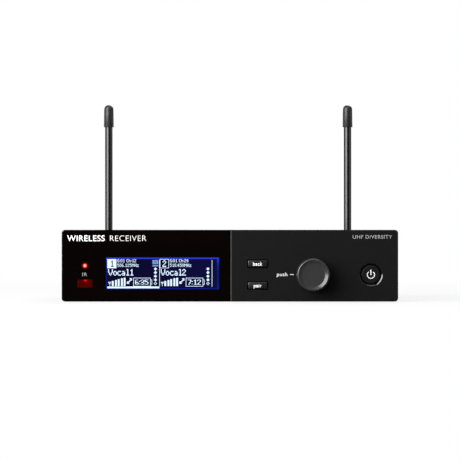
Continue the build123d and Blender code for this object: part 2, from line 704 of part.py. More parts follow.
def chassis_tray():
    """The lower half of the case, folded from one sheet: floor, side lips, front flange and rear panel."""
    shell = block(-TRAY_X, TRAY_X, BEZEL_BACK_Y, REAR_Y, CASE_Z0, TRAY_Z1)
    bends = shell.faces().sort_by(Axis.Z)[0].edges()
    shell = fillet(bends, SHEET)
    shell -= block(-TRAY_X + SHEET, TRAY_X - SHEET, BEZEL_BACK_Y + SHEET, REAR_Y - SHEET, CASE_Z0 + SHEET, PANEL_H * 2)
    lip_top = CASE_Z0 + LIP_H
    shell -= block(-PANEL_W, PANEL_W, BEZEL_BACK_Y + SHEET, REAR_Y - SHEET, lip_top, PANEL_H * 2)
    shell -= block(
        -TRAY_X + FLANGE_RIM_X,
        TRAY_X - FLANGE_RIM_X,
        BEZEL_BACK_Y - 1,
        BEZEL_BACK_Y + SHEET + 1e-3,
        CASE_Z0 + FLANGE_RIM_Z,
        TRAY_Z1 - FLANGE_RIM_Z,
    )
    for x, z in BOSS_PLACES:
        shell -= rod(x, z, SCREW_R + 0.15, BEZEL_BACK_Y - 1, BEZEL_BACK_Y + SHEET + 1)
    for side in (-1, 1):
        for y, z in side_screw_places():
            shell -= Pos(side * TRAY_X, y, z) * Rot(0, 90, 0) * Cylinder(SCREW_R + SNUG, 6)
    inner, outer = REAR_Y - SHEET - 1, REAR_Y + 1
    for name in ("xlr_1", "xlr_2"):
        shell -= rod(ROW_X[name], ROW_Z, XLR_BORE_R + XLR_WALL + 0.2, inner, outer)
        for side in (-1, 1):
            shell -= rod(ROW_X[name] + side * XLR_SCREW_X, ROW_Z + side * XLR_SCREW_Z, SCREW_R + 0.1, inner, outer)
    for name in ("jack_1", "jack_2"):
        shell -= rod(ROW_X[name], ROW_Z, JACK_THREAD_R + 0.15, inner, outer)
    shell -= slab(ROW_X["lan"], LAN_Z, LAN_W + 0.3, LAN_H + 0.3, 0.4, inner, outer)
    shell -= slab(ROW_X["dc"], DC_Z, DC_W + 0.3, DC_H + 0.3, 0.4, inner, outer)
    for side in (-1, 1):
        shell -= rod(side * ANTENNA_X, ROW_Z, SOCKET_THREAD_R + 0.1, inner, outer)
    return shell


def ear_hole_places():
    """Centres of the four rack-ear holes on each side of the case, as (y, z)."""
    first = BEZEL_BACK_Y + EAR_FROM_BEZEL
    return [(first + dy, PANEL_MID_Z + dz) for dy in (0, EAR_PITCH_Y) for dz in (-EAR_PITCH_Z / 2, EAR_PITCH_Z / 2)]


def top_cover():
    """The upper half of the case, folded from one sheet: top and two sides, with vent slots and screw holes."""
    shell = block(-CASE_X, CASE_X, BEZEL_BACK_Y, REAR_Y, CASE_Z0, CASE_Z1)
    bends = shell.faces().sort_by(Axis.Z)[-1].edges().filter_by(Axis.Y)
    shell = fillet(bends, COVER_BEND_R)
    shell -= block(-CASE_X + SHEET, CASE_X - SHEET, BEZEL_BACK_Y - 1, REAR_Y + 1, CASE_Z0 - 1, CASE_Z1 - SHEET)
    for side in (-1, 1):
        for y, z in ear_hole_places():
            shell -= Pos(side * CASE_X, y, z) * Rot(0, 90, 0) * Cylinder(EAR_SHANK_R + SNUG, 6)
        for y, z in side_screw_places():
            shell -= Pos(side * CASE_X, y, z) * Rot(0, 90, 0) * Cylinder(SCREW_R + 0.15, 6)
        for i in range(VENT_COUNT):
            y = REAR_Y - VENT_FROM_REAR - i * VENT_PITCH
            slot = Plane.YZ * (Pos(y, PANEL_MID_Z) * SlotOverall(VENT_H, VENT_W, rotation=90))
            shell -= Pos(side * CASE_X, 0, 0) * extrude(slot, amount=3, both=True)
    return shell


def cover_screws():
    """Four pan-head screws that hold the cover's sides to the tray's lips."""
    screws = []
    for side in (-1, 1):
        for y, z in side_screw_places():
            straight = screw(0, 0, 0, 1, 2 * SHEET + FIT + 1.5, COVER_HEAD_T)
            turned_in = Rot(0, 0, side * 90) * straight
            screws.append(Pos(side * CASE_X, y, z) * turned_in)
    return screws


def ear_nuts():
    """Press-in nuts behind the rack-ear holes. Each one's shank ends flush with the case's side."""
    nuts = []
    inner_face = CASE_X - SHEET
    for side in (-1, 1):
        for y, z in ear_hole_places():
            flange = Pos(side * (inner_face - EAR_NUT_T / 2), y, z) * Rot(0, 90, 0) * Cylinder(EAR_NUT_R, EAR_NUT_T)
            shank = Pos(side * (inner_face + SHEET / 2), y, z) * Rot(0, 90, 0) * Cylinder(EAR_SHANK_R, SHEET)
            bore = Pos(side * CASE_X, y, z) * Rot(0, 90, 0) * Cylinder(EAR_HOLE_R, 20)
            nuts.append(flange + shank - bore)
    return nuts


def rubber_feet():
    feet = []
    for sx in (-1, 1):
        for y in (BEZEL_BACK_Y + FOOT_INSET_Y, REAR_Y - FOOT_INSET_Y):
            foot = post(sx * (CASE_X - FOOT_INSET_X), y, FOOT_R, 0, CASE_Z0)
            feet.append(fillet(foot.edges().filter_by(GeomType.CIRCLE).sort_by(Axis.Z)[0], 0.4))
    return feet


# ---- main board ----
def main_board():
    half = TRAY_X - SHEET - MAIN_BOARD_INSET
    front = BEZEL_BACK_Y + SHEET + 2.0
    board = block(-half, half, front, REAR_Y - SHEET - 0.5, MAIN_BOARD_Z, BOARD_TOP_Z)
    for x, y in STANDOFF_PLACES:
        board -= post(x, y, SCREW_R + 0.15, MAIN_BOARD_Z - 1, BOARD_TOP_Z + 1)
    for name in ("xlr_1", "xlr_2"):
        x = ROW_X[name] - XLR_SCREW_X
        end = REAR_Y + XLR_FLANGE_T - xlr_screw_length() - BOARD_NOTCH_GAP
        notch_r = SCREW_R + BOARD_NOTCH_GAP
        board -= block(x - notch_r, x + notch_r, end, REAR_Y, MAIN_BOARD_Z - 1, BOARD_TOP_Z + 1)
    return board


def standoffs():
    floor = CASE_Z0 + SHEET
    made = []
    for x, y in STANDOFF_PLACES:
        made.append(post(x, y, STANDOFF_R, floor, MAIN_BOARD_Z) - post(x, y, SCREW_R + SNUG, floor + 1, MAIN_BOARD_Z + 1))
    return made


def main_board_screws():
    made = []
    for x, y in STANDOFF_PLACES:
        lying = screw(0, 0, 0, 1, STANDOFF_H)
        made.append(Pos(x, y, BOARD_TOP_Z) * Rot(-90, 0, 0) * lying)
    return made


def shield_cans():
    """Folded tin cans over the two radio front ends, open underneath."""
    cans = []
    for side in (-1, 1):
        x = side * (PANEL_W / 2 - SHIELD_FROM_SIDE)
        can = block(x - SHIELD_W / 2, x + SHIELD_W / 2, SHIELD_Y - SHIELD_L / 2, SHIELD_Y + SHIELD_L / 2, BOARD_TOP_Z, BOARD_TOP_Z + SHIELD_H)
        can = fillet(can.faces().sort_by(Axis.Z)[-1].edges(), 0.5)
        w = SHIELD_W / 2 - SHIELD_WALL
        l = SHIELD_L / 2 - SHIELD_WALL
        cans.append(can - block(x - w, x + w, SHIELD_Y - l, SHIELD_Y + l, BOARD_TOP_Z - 1, BOARD_TOP_Z + SHIELD_H - SHIELD_WALL))
    return cans


def chip(x, y, size):
    body = block(x - size / 2, x + size / 2, y - size / 2, y + size / 2, BOARD_TOP_Z, BOARD_TOP_Z + CHIP_T)
    return chamfer(body.faces().sort_by(Axis.Z)[-1].edges(), 0.2)


def board_components():
    """The processor, the network and audio chips, and the power supply's three capacitors."""
    made = [chip(PROCESSOR_X, REAR_Y - PROCESSOR_FROM_REAR, PROCESSOR_SIZE)]
    for name in ("lan", "xlr_1", "xlr_2"):
        made.append(chip(ROW_X[name], REAR_Y - SMALL_CHIP_FROM_REAR, SMALL_CHIP_SIZE))
    for i in (-1, 0, 1):
        x = ROW_X["dc"] + i * CAPACITOR_PITCH
        can = post(x, REAR_Y - CAPACITOR_FROM_REAR, CAPACITOR_R, BOARD_TOP_Z, BOARD_TOP_Z + CAPACITOR_H)
        made.append(fillet(can.edges().filter_by(GeomType.CIRCLE).sort_by(Axis.Z)[-1], 0.5))
    return made


# ---- rear connectors ----
def xlr_shell(x):
    """A three-pole audio outlet: a flange outside the rear panel and a barrel that stands on the main board."""
    out = REAR_Y + XLR_FLANGE_T
    barrel_end = out - XLR_DEPTH - XLR_FLOOR
    flange = slab(x, ROW_Z, XLR_FLANGE_W, XLR_FLANGE_H, 3.0, REAR_Y, out)
    flange = fillet(flange.faces().sort_by(Axis.Y)[-1].edges(), 0.4)
    barrel = rod(x, ROW_Z, XLR_BORE_R + XLR_WALL, barrel_end, REAR_Y)
    foot_z = max(BOARD_TOP_Z + 0.5, ROW_Z - XLR_BORE_R)
    foot = block(x - 8, x + 8, barrel_end, REAR_Y - SHEET - 0.3, BOARD_TOP_Z, foot_z)
    shell = flange + barrel + foot
    shell -= rod(x, ROW_Z, XLR_BORE_R, out - XLR_DEPTH, out + 1)
    key_top = ROW_Z + XLR_BORE_R + 0.9
    shell -= block(x - 1.6, x + 1.6, out - XLR_DEPTH, out + 1, ROW_Z, key_top)
    for px, pz in xlr_pin_places(x):
        shell -= rod(px, pz, XLR_PIN_R + SNUG, barrel_end - 1, out)
    for side in (-1, 1):
        shell -= rod(x + side * XLR_SCREW_X, ROW_Z + side * XLR_SCREW_Z, SCREW_R + 0.1, REAR_Y - 1, out + 1)
    return shell


def xlr_pin_places(x):
    high = ROW_Z + XLR_PIN_PITCH / 6
    return [(x - XLR_PIN_PITCH, high), (x + XLR_PIN_PITCH, high), (x, ROW_Z - XLR_PIN_PITCH)]


def xlr_pins():
    made = []
    floor = REAR_Y + XLR_FLANGE_T - XLR_DEPTH
    for name in ("xlr_1", "xlr_2"):
        for px, pz in xlr_pin_places(ROW_X[name]):
            pin = rod(px, pz, XLR_PIN_R, floor - XLR_FLOOR, floor + XLR_PIN_L)
            made.append(fillet(pin.edges().filter_by(GeomType.CIRCLE).sort_by(Axis.Y)[-1], XLR_PIN_R * 0.8))
    return made


def xlr_screw_length():
    return XLR_FLANGE_T + SHEET + 2.0


def xlr_screws():
    made = []
    for name in ("xlr_1", "xlr_2"):
        for side in (-1, 1):
            x = ROW_X[name] + side * XLR_SCREW_X
            made.append(screw(x, ROW_Z + side * XLR_SCREW_Z, REAR_Y + XLR_FLANGE_T, -1, xlr_screw_length()))
    return made


def jack_socket(x):
    """A 6.35 mm jack socket: a threaded nose through the rear panel and a body that stands on the main board."""
    out = REAR_Y + JACK_STANDS
    body_front = REAR_Y - SHEET - JACK_BODY_L
    half = JACK_BODY_W / 2
    body = block(x - half, x + half, body_front, REAR_Y - SHEET, BOARD_TOP_Z, ROW_Z + half - 1)
    nose = rod(x, ROW_Z, JACK_THREAD_R, REAR_Y - SHEET, out)
    nose = chamfer(nose.edges().filter_by(GeomType.CIRCLE).sort_by(Axis.Y)[-1], 0.3)
    return body + nose - rod(x, ROW_Z, JACK_BORE_R, body_front + 1.5, out + 1)


def jack_nuts():
    made = []
    for name in ("jack_1", "jack_2"):
        x = ROW_X[name]
        nut = hexagon(x, ROW_Z, 2 * JACK_NUT_R, REAR_Y, REAR_Y + JACK_NUT_T)
        made.append(nut - rod(x, ROW_Z, JACK_THREAD_R + SNUG, REAR_Y - 1, REAR_Y + JACK_NUT_T + 1))
    return made


def lan_mouth_z():
    """The mouth's lower and upper edge. The latch notch is below it."""
    low = LAN_Z - LAN_H / 2 + 3.2
    return low, low + LAN_MOUTH_H


def network_socket():
    x = ROW_X["lan"]
    out = REAR_Y + LAN_STANDS
    low, high = lan_mouth_z()
    inner = out - LAN_MOUTH_DEPTH
    body = slab(x, LAN_Z, LAN_W, LAN_H, 0.4, REAR_Y - LAN_L, out)
    body -= block(x - LAN_MOUTH_W / 2, x + LAN_MOUTH_W / 2, inner, out + 1, low, high)
    body -= block(x - 3.1, x + 3.1, inner, out + 1, low - 1.6, high)
    body -= block(x - 1.7, x + 1.7, out - 9, out + 1, low - 2.4, high)
    for side in (-1, 1):
        body -= lan_led_block(side, SNUG)
    return body


def lan_led_block(side, grow):
    """The window of one link light, in an upper corner of the network socket."""
    x = ROW_X["lan"] + side * (LAN_W / 2 - 0.9 - LAN_LED_W / 2)
    top = LAN_Z + LAN_H / 2 - 0.4
    half = LAN_LED_W / 2 + grow
    return block(x - half, x + half, REAR_Y - 3.0 - grow, REAR_Y + LAN_STANDS, top - LAN_LED_H + 0.6 - grow, top + grow)


def network_lights():
    return [lan_led_block(side, 0) for side in (-1, 1)]


def network_contacts():
    """Eight sprung wires along the top of the network socket's mouth."""
    x = ROW_X["lan"]
    low, high = lan_mouth_z()
    made = []
    for i in range(8):
        wire_x = x + (i - 3.5) * 1.02
        made.append(block(wire_x - 0.2, wire_x + 0.2, REAR_Y - LAN_MOUTH_DEPTH + LAN_STANDS, REAR_Y - 4.0, high - 0.8, high))
    return made


def power_socket():
    x = ROW_X["dc"]
    out = REAR_Y + DC_STANDS
    body = slab(x, DC_Z, DC_W, DC_H, 0.8, REAR_Y - DC_L, out)
    body -= rod(x, DC_Z, DC_BORE_R, out - DC_DEPTH, out + 1)
    return body - rod(x, DC_Z, DC_PIN_R + SNUG, REAR_Y - DC_L - 1, out)


def power_pin():
    x = ROW_X["dc"]
    pin = rod(x, DC_Z, DC_PIN_R, REAR_Y - DC_L, REAR_Y + DC_STANDS - 1.0)
    return fillet(pin.edges().filter_by(GeomType.CIRCLE).sort_by(Axis.Y)[-1], 0.5)


# ---- antenna sockets ----
def antenna_socket(x):
    """A bayonet antenna socket: a block on the main board, a thread through the panel, a barrel and two lugs."""
    half = SOCKET_BLOCK / 2
    inside = REAR_Y - SHEET
    body = block(x - half, x + half, inside - SOCKET_BLOCK, inside, BOARD_TOP_Z, ROW_Z + half)
    body += rod(x, ROW_Z, SOCKET_THREAD_R, inside, REAR_Y + SOCKET_WASHER_T + SOCKET_NUT_T)
    body += rod(x, ROW_Z, SOCKET_R, REAR_Y, SOCKET_MOUTH_Y)
    for side in (-1, 1):
        lug = Pos(x + side * LUG_TIP_R / 2, LUG_Y, ROW_Z) * Rot(0, 90, 0) * Cylinder(LUG_R, LUG_TIP_R)
        body += lug
    return body - rod(x, ROW_Z, SOCKET_BORE_R, socket_floor_y(), SOCKET_MOUTH_Y + 1)


def socket_floor_y():
    return SOCKET_MOUTH_Y - FERRULE_L - 1.5


def socket_cores():
    """The white insulators in the antenna sockets, each bored for the plug's pin."""
    made = []
    for side in (-1, 1):
        x = side * ANTENNA_X
        core = rod(x, ROW_Z, SOCKET_BORE_R - SNUG, socket_floor_y(), socket_floor_y() + 1.0)
        core += rod(x, ROW_Z, CORE_R, socket_floor_y(), SOCKET_MOUTH_Y - 0.6)
        made.append(core - rod(x, ROW_Z, CORE_HOLE_R, socket_floor_y() + 0.3, SOCKET_MOUTH_Y + 1))
    return made


def socket_nuts():
    """A nut and a washer on the thread of each antenna socket."""
    made = []
    for side in (-1, 1):
        x = side * ANTENNA_X
        nut = hexagon(x, ROW_Z, SOCKET_NUT_AF, REAR_Y + SOCKET_WASHER_T, REAR_Y + SOCKET_WASHER_T + SOCKET_NUT_T)
        washer = rod(x, ROW_Z, SOCKET_NUT_AF / 2 + 0.6, REAR_Y, REAR_Y + SOCKET_WASHER_T)
        made.append(nut + washer - rod(x, ROW_Z, SOCKET_THREAD_R + SNUG, REAR_Y - 1, REAR_Y + 5))
    return made


# ---- antennas ----
def bayonet_ring(x):
    """The coupling ring. Its groove holds the socket's lugs, and two entry slots let them out after a quarter turn."""
    groove_y0 = LUG_Y - LUG_R - 0.25
    groove_y1 = LUG_Y + LUG_R + 0.25
    web_y = RING_Y1 - RING_WEB
    points = [
        (RING_BORE_R, RING_Y0),
        (RING_R - 0.4, RING_Y0),
        (RING_R, RING_Y0 + 0.4),
        (RING_R, RING_Y1 - 1.0),
        (RING_R - 1.0, RING_Y1),
        (PLUG_SHANK_R + 0.1, RING_Y1),
        (PLUG_SHANK_R + 0.1, web_y),
        (RING_BORE_R, web_y),
        (RING_BORE_R, groove_y1),
        (RING_GROOVE_R, groove_y1),
        (RING_GROOVE_R, groove_y0),
        (RING_BORE_R, groove_y0),
    ]
    ring = turned(points, x, ROW_Z)
    slot = LUG_R + 0.15
    return ring - block(x - slot, x + slot, RING_Y0 - 1, groove_y1 - 0.5, ROW_Z - RING_GROOVE_R, ROW_Z + RING_GROOVE_R)


def antenna_plug(x):
    """The metal core of the antenna's plug: ferrule, shoulder and shank, turned in one, with the centre pin."""
    web_y = RING_Y1 - RING_WEB
    shoulder_y = SOCKET_MOUTH_Y + 0.2
    ferrule_y = shoulder_y - FERRULE_L
    points = [
        (FERRULE_BORE_R, ferrule_y),
        (FERRULE_R, ferrule_y),
        (FERRULE_R, shoulder_y),
        (RING_BORE_R - 0.2, shoulder_y),
        (RING_BORE_R - 0.2, web_y - 0.2),
        (PLUG_SHANK_R, web_y - 0.2),
        (PLUG_SHANK_R, RING_Y1 + 0.4),
        (0, RING_Y1 + 0.4),
        (0, shoulder_y),
        (FERRULE_BORE_R, shoulder_y),
    ]
    body = turned(points, x, ROW_Z)
    return body + rod(x, ROW_Z, PLUG_PIN_R, ferrule_y + 0.5, shoulder_y + 0.2)


def antenna_elbow(x):
    """The moulded right-angle body. It holds the plug's shank in front and the whip in a socket on top."""
    start = RING_Y1 + 0.4
    top = ROW_Z + ELBOW_RISE
    across = rod(x, ROW_Z, ELBOW_R, start, WHIP_Y)
    across = chamfer(across.edges().filter_by(GeomType.CIRCLE).sort_by(Axis.Y)[0], 0.8)
    knuckle = Pos(x, WHIP_Y, ROW_Z) * Sphere(ELBOW_R)
    points = [
        (0, ROW_Z),
        (ELBOW_R, ROW_Z),
        (ELBOW_R, ROW_Z + ELBOW_R + 1.5),
        (ELBOW_TOP_R + 0.3, top - 1.0),
        (ELBOW_TOP_R - 0.2, top),
        (0, top),
    ]
    upright = turned_upright(points, x, WHIP_Y)
    return across + knuckle + upright - post(x, WHIP_Y, WHIP_R + SNUG, top - ELBOW_SOCKET, top + 1)


def antenna_whip(x):
    """The flexible rod, from the bottom of the elbow's socket to the bottom of the tip's socket."""
    return post(x, WHIP_Y, WHIP_R, ROW_Z + ELBOW_RISE - ELBOW_SOCKET, WHIP_TOP - TIP_L + TIP_SOCKET)


def antenna_tip(x):
    """The moulded cap, slightly tapered, with a round end."""
    base = WHIP_TOP - TIP_L
    points = [
        (0, base),
        (TIP_R - 0.3, base),
        (TIP_R, base + 0.3),
        (TIP_TOP_R, WHIP_TOP - TIP_TOP_R),
        (0, WHIP_TOP - TIP_TOP_R),
    ]
    cap = turned_upright(points, x, WHIP_Y)
    cap += Pos(x, WHIP_Y, WHIP_TOP - TIP_TOP_R) * Sphere(TIP_TOP_R)
    return cap - post(x, WHIP_Y, WHIP_R + SNUG, base - 1, base + TIP_SOCKET)


# ---- the assembly ----
parts = {
    "front_bezel": front_bezel(),
    "display_window": display_window(),
    "display_mask": display_mask(),
    "lcd_gasket": lcd_gasket(),
    "lcd_glass": lcd_glass(),
    "lcd_frame": lcd_frame(),
    "status_led": status_led(),
    "ir_filter": ir_filter(),
    "ir_transceiver": ir_transceiver(),
    "back_key": key_cap(BACK_KEY_Z),
    "pair_key": key_cap(PAIR_KEY_Z),
    "power_key": power_cap(),
    "power_ring": power_ring(),
    "back_plunger": plunger(KEY_X, BACK_KEY_Z),
    "pair_plunger": plunger(KEY_X, PAIR_KEY_Z),
    "power_plunger": plunger(POWER_X, CONTROL_Z),
    "key_switches": [switch_body(KEY_X, BACK_KEY_Z), switch_body(KEY_X, PAIR_KEY_Z), switch_body(POWER_X, CONTROL_Z)],
    "control_knob": control_knob(),
    "encoder_shaft": encoder_shaft(),
    "encoder_rotor": encoder_rotor(),
    "encoder_body": encoder_body(),
    "encoder_nut": encoder_nut(),
    "front_board": front_board(),
    "bezel_screws": bezel_screws(),
    "ribbon_cable": ribbon_cable(),
    "ribbon_sockets": ribbon_sockets(),
    "chassis_tray": chassis_tray(),
    "top_cover": top_cover(),
    "cover_screws": cover_screws(),
    "rack_ear_nuts": ear_nuts(),
    "rubber_feet": rubber_feet(),
    "main_board": main_board(),
    "board_standoffs": standoffs(),
    "main_board_screws": main_board_screws(),
    "radio_shield_cans": shield_cans(),
    "board_components": board_components(),
    "xlr_shells": [xlr_shell(ROW_X["xlr_1"]), xlr_shell(ROW_X["xlr_2"])],
    "xlr_pins": xlr_pins(),
    "xlr_screws": xlr_screws(),
    "jack_sockets": [jack_socket(ROW_X["jack_1"]), jack_socket(ROW_X["jack_2"])],
    "jack_nuts": jack_nuts(),
    "network_socket": network_socket(),
    "network_lights": network_lights(),
    "network_contacts": network_contacts(),
    "power_socket": power_socket(),
    "power_socket_pin": power_pin(),
    "antenna_sockets": [antenna_socket(-ANTENNA_X), antenna_socket(ANTENNA_X)],
    "antenna_socket_cores": socket_cores(),
    "antenna_socket_nuts": socket_nuts(),
}
for side, x in (("left", -ANTENNA_X), ("right", ANTENNA_X)):
    parts["bayonet_ring_" + side] = bayonet_ring(x)
    parts["antenna_plug_" + side] = antenna_plug(x)
    parts["antenna_elbow_" + side] = antenna_elbow(x)
    parts["antenna_whip_" + side] = antenna_whip(x)
    parts["antenna_tip_" + side] = antenna_tip(x)

os.makedirs("parts", exist_ok=True)
for name, made in parts.items():
    shape = Compound(children=made) if isinstance(made, list) else made
    export_step(shape, "parts/" + name + ".step")
print(len(parts), "nodes written")
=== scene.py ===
"""The half-rack receiver, dressed around its CAD frame in the order in which it is put together."""

import math

import bpy
from mathutils import Matrix, Vector


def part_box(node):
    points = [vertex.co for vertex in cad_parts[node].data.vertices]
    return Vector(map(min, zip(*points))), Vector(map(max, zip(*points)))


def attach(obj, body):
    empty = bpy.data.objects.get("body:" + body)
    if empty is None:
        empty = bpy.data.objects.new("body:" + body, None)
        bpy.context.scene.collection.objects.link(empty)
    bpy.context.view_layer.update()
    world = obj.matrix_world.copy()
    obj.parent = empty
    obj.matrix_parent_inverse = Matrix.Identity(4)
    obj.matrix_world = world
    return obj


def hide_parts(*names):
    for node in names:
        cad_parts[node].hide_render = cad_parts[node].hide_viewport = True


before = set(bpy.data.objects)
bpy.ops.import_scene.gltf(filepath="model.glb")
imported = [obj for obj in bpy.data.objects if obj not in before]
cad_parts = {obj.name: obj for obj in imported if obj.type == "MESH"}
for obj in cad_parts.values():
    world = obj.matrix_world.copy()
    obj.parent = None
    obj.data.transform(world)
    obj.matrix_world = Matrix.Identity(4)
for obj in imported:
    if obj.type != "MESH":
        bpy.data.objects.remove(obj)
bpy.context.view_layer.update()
bpy.ops.object.select_all(action="DESELECT")

MM = 0.001

# ---- Studio ----
# A sheet of matt white paper in a dim room with one white wall, which stands behind the receiver. A wide
# soft box on the left draws the line of light down the antennas, and a narrow one stands on the right.
panel_low, panel_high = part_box("front_bezel")
face_y = panel_low.y
panel_mid = Vector((0, face_y, (panel_low.z + panel_high.z) / 2))


def linear(code):
    """A colour written as an sRGB hex value, as the four linear numbers that a shader takes."""
    parts = [int(code[i : i + 2], 16) / 255 for i in (1, 3, 5)]
    return [p / 12.92 if p <= 0.04045 else ((p + 0.055) / 1.055) ** 2.4 for p in parts] + [1]


def add_node(tree, kind, settings=None, inputs=None):
    """Adds a shader node. An input is given a value, or another node's output to link from."""
    made = tree.nodes.new(kind)
    for name, value in (settings or {}).items():
        setattr(made, name, value)
    for name, value in (inputs or {}).items():
        if isinstance(value, bpy.types.NodeSocket):
            tree.links.new(value, made.inputs[name])
        else:
            made.inputs[name].default_value = value
    return made


def new_tree(holder):
    holder.use_nodes = True
    holder.node_tree.nodes.clear()
    return holder.node_tree


# The white wall fills the part of the room behind the receiver, and the camera sees white all round.
world = bpy.data.worlds.new("room_with_white_wall")
bpy.context.scene.world = world
tree = new_tree(world)
path = add_node(tree, "ShaderNodeLightPath")
direction = add_node(tree, "ShaderNodeTexCoord").outputs["Generated"]
backwards = add_node(tree, "ShaderNodeSeparateXYZ", None, {0: direction}).outputs["Y"]
wall = add_node(
    tree,
    "ShaderNodeMapRange",
    {"interpolation_type": "SMOOTHSTEP"},
    {"Value": backwards, "From Min": 0.75, "From Max": 0.95, "To Min": 0.0, "To Max": 1.0},
).outputs[0]
mirrored = add_node(
    tree,
    "ShaderNodeMath",
    {"operation": "MAXIMUM"},
    {0: path.outputs["Is Glossy Ray"], 1: path.outputs["Is Transmission Ray"]},
).outputs[0]
wall_mirrored = add_node(
    tree, "ShaderNodeMath", {"operation": "MULTIPLY"}, {0: mirrored, 1: wall}
).outputs[0]
seen = add_node(
    tree, "ShaderNodeMath", {"operation": "MAXIMUM"}, {0: path.outputs["Is Camera Ray"], 1: wall_mirrored}
).outputs[0]
room = add_node(tree, "ShaderNodeBackground", None, {"Color": linear("#ffffff"), "Strength": 0.14})
white = add_node(tree, "ShaderNodeBackground", None, {"Color": linear("#ffffff"), "Strength": 1.0})
mix = add_node(tree, "ShaderNodeMixShader", None, {0: seen, 1: room.outputs[0], 2: white.outputs[0]})
add_node(tree, "ShaderNodeOutputWorld", None, {"Surface": mix.outputs[0]})

bpy.ops.mesh.primitive_circle_add(vertices=96, radius=6.0, fill_type="NGON", location=(0, 0, 0))
floor = bpy.context.object
floor.name = "floor"
paper = bpy.data.materials.new("matt_white_paper")
tree = new_tree(paper)
path = add_node(tree, "ShaderNodeLightPath")
place = add_node(tree, "ShaderNodeTexCoord").outputs["Object"]
distance = add_node(tree, "ShaderNodeVectorMath", {"operation": "LENGTH"}, {0: place}).outputs["Value"]
fade = add_node(
    tree,
    "ShaderNodeMapRange",
    {"interpolation_type": "SMOOTHSTEP"},
    {"Value": distance, "From Min": 0.15, "From Max": 0.8, "To Min": 0.8, "To Max": 1.0},
).outputs[0]
# In front of the receiver the room is dark, so the paper is mirrored dim there, and white behind it.
backwards = add_node(tree, "ShaderNodeSeparateXYZ", None, {0: place}).outputs["Y"]
behind = add_node(tree, "ShaderNodeMapRange", None, {"Value": backwards, "From Max": 0.4}).outputs[0]
mirrored = add_node(
    tree,
    "ShaderNodeMath",
    {"operation": "MAXIMUM"},
    {0: path.outputs["Is Glossy Ray"], 1: path.outputs["Is Transmission Ray"]},
).outputs[0]
mirrored_behind = add_node(
    tree, "ShaderNodeMath", {"operation": "MULTIPLY"}, {0: mirrored, 1: behind}
).outputs[0]
seen = add_node(
    tree, "ShaderNodeMath", {"operation": "MAXIMUM"}, {0: path.outputs["Is Camera Ray"], 1: mirrored_behind}
).outputs[0]
share = add_node(tree, "ShaderNodeMath", {"operation": "MULTIPLY"}, {0: fade, 1: seen}).outputs[0]
mirrored_ahead = add_node(
    tree, "ShaderNodeMath", {"operation": "SUBTRACT"}, {0: path.outputs["Is Glossy Ray"], 1: behind}
).outputs[0]
tone = add_node(
    tree,
    "ShaderNodeMix",
    {"data_type": "RGBA", "clamp_factor": True},
    {0: mirrored_ahead, 6: linear("#ededed"), 7: linear("#2c2c2c")},
).outputs[2]
sheet = add_node(tree, "ShaderNodeBsdfDiffuse", None, {"Color": tone})
glow = add_node(tree, "ShaderNodeEmission", None, {"Color": linear("#ffffff"), "Strength": 1.0})
mix = add_node(tree, "ShaderNodeMixShader", None, {0: share, 1: sheet.outputs[0], 2: glow.outputs[0]})
add_node(tree, "ShaderNodeOutputMaterial", None, {"Surface": mix.outputs[0]})
floor.data.materials.append(paper)


def soft_box(name, azimuth, elevation, distance, size, watts):
    """An area lamp that faces the panel. Azimuth 0 is in front of it and 90 on its right."""
    a, e = math.radians(azimuth), math.radians(elevation)
    away = Vector((math.sin(a) * math.cos(e), -math.cos(a) * math.cos(e), math.sin(e)))
    lamp = bpy.data.lights.new(name, "AREA")
    lamp.shape = "RECTANGLE"
    lamp.size, lamp.size_y = size
    lamp.energy = watts
    box = bpy.data.objects.new(name, lamp)
    bpy.context.scene.collection.objects.link(box)
    box.location = panel_mid + away * distance
    box.rotation_euler = (-away).to_track_quat("-Z", "Y").to_euler()


soft_box("left_soft_box", -47, 20, 1.1, (1.2, 0.95), 24.0)
soft_box("right_soft_box", 84, -2, 1.0, (0.35, 0.7), 1.2)
soft_box("overhead_soft_box", 20, 76, 1.2, (0.9, 0.9), 5.0)
soft_box("rear_soft_box", 160, 35, 1.5, (0.6, 0.6), 8.0)

# ---- Camera ----
# A long lens, level and almost straight on, about as high as the panel's upper edge.
CAMERA_DISTANCE = 1.6
VIEW_WIDTH = 0.2692
camera_data = bpy.data.cameras.new("camera")
camera_data.sensor_width = 36
camera_data.lens = 36 * CAMERA_DISTANCE / VIEW_WIDTH
camera = bpy.data.objects.new("camera", camera_data)
bpy.context.scene.collection.objects.link(camera)
aim = Vector((0, face_y, panel_high.z - 0.1 * MM))
camera.location = aim + Vector((-0.012, -CAMERA_DISTANCE, 0.2 * MM))
camera.rotation_euler = (aim - camera.location).to_track_quat("-Z", "Y").to_euler()
bpy.context.scene.camera = camera
bpy.context.scene.view_settings.view_transform = "Standard"

# ---- Front bezel ----
# One moulding in black ABS. Its right half keeps the fine spark-eroded grain of the mould, which takes the
# gloss away, and its left half is a recess for the window. It screws to the case from behind.


def dress(node, material):
    """Gives a CAD node its material."""
    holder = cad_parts[node].data
    holder.materials.clear()
    holder.materials.append(material)


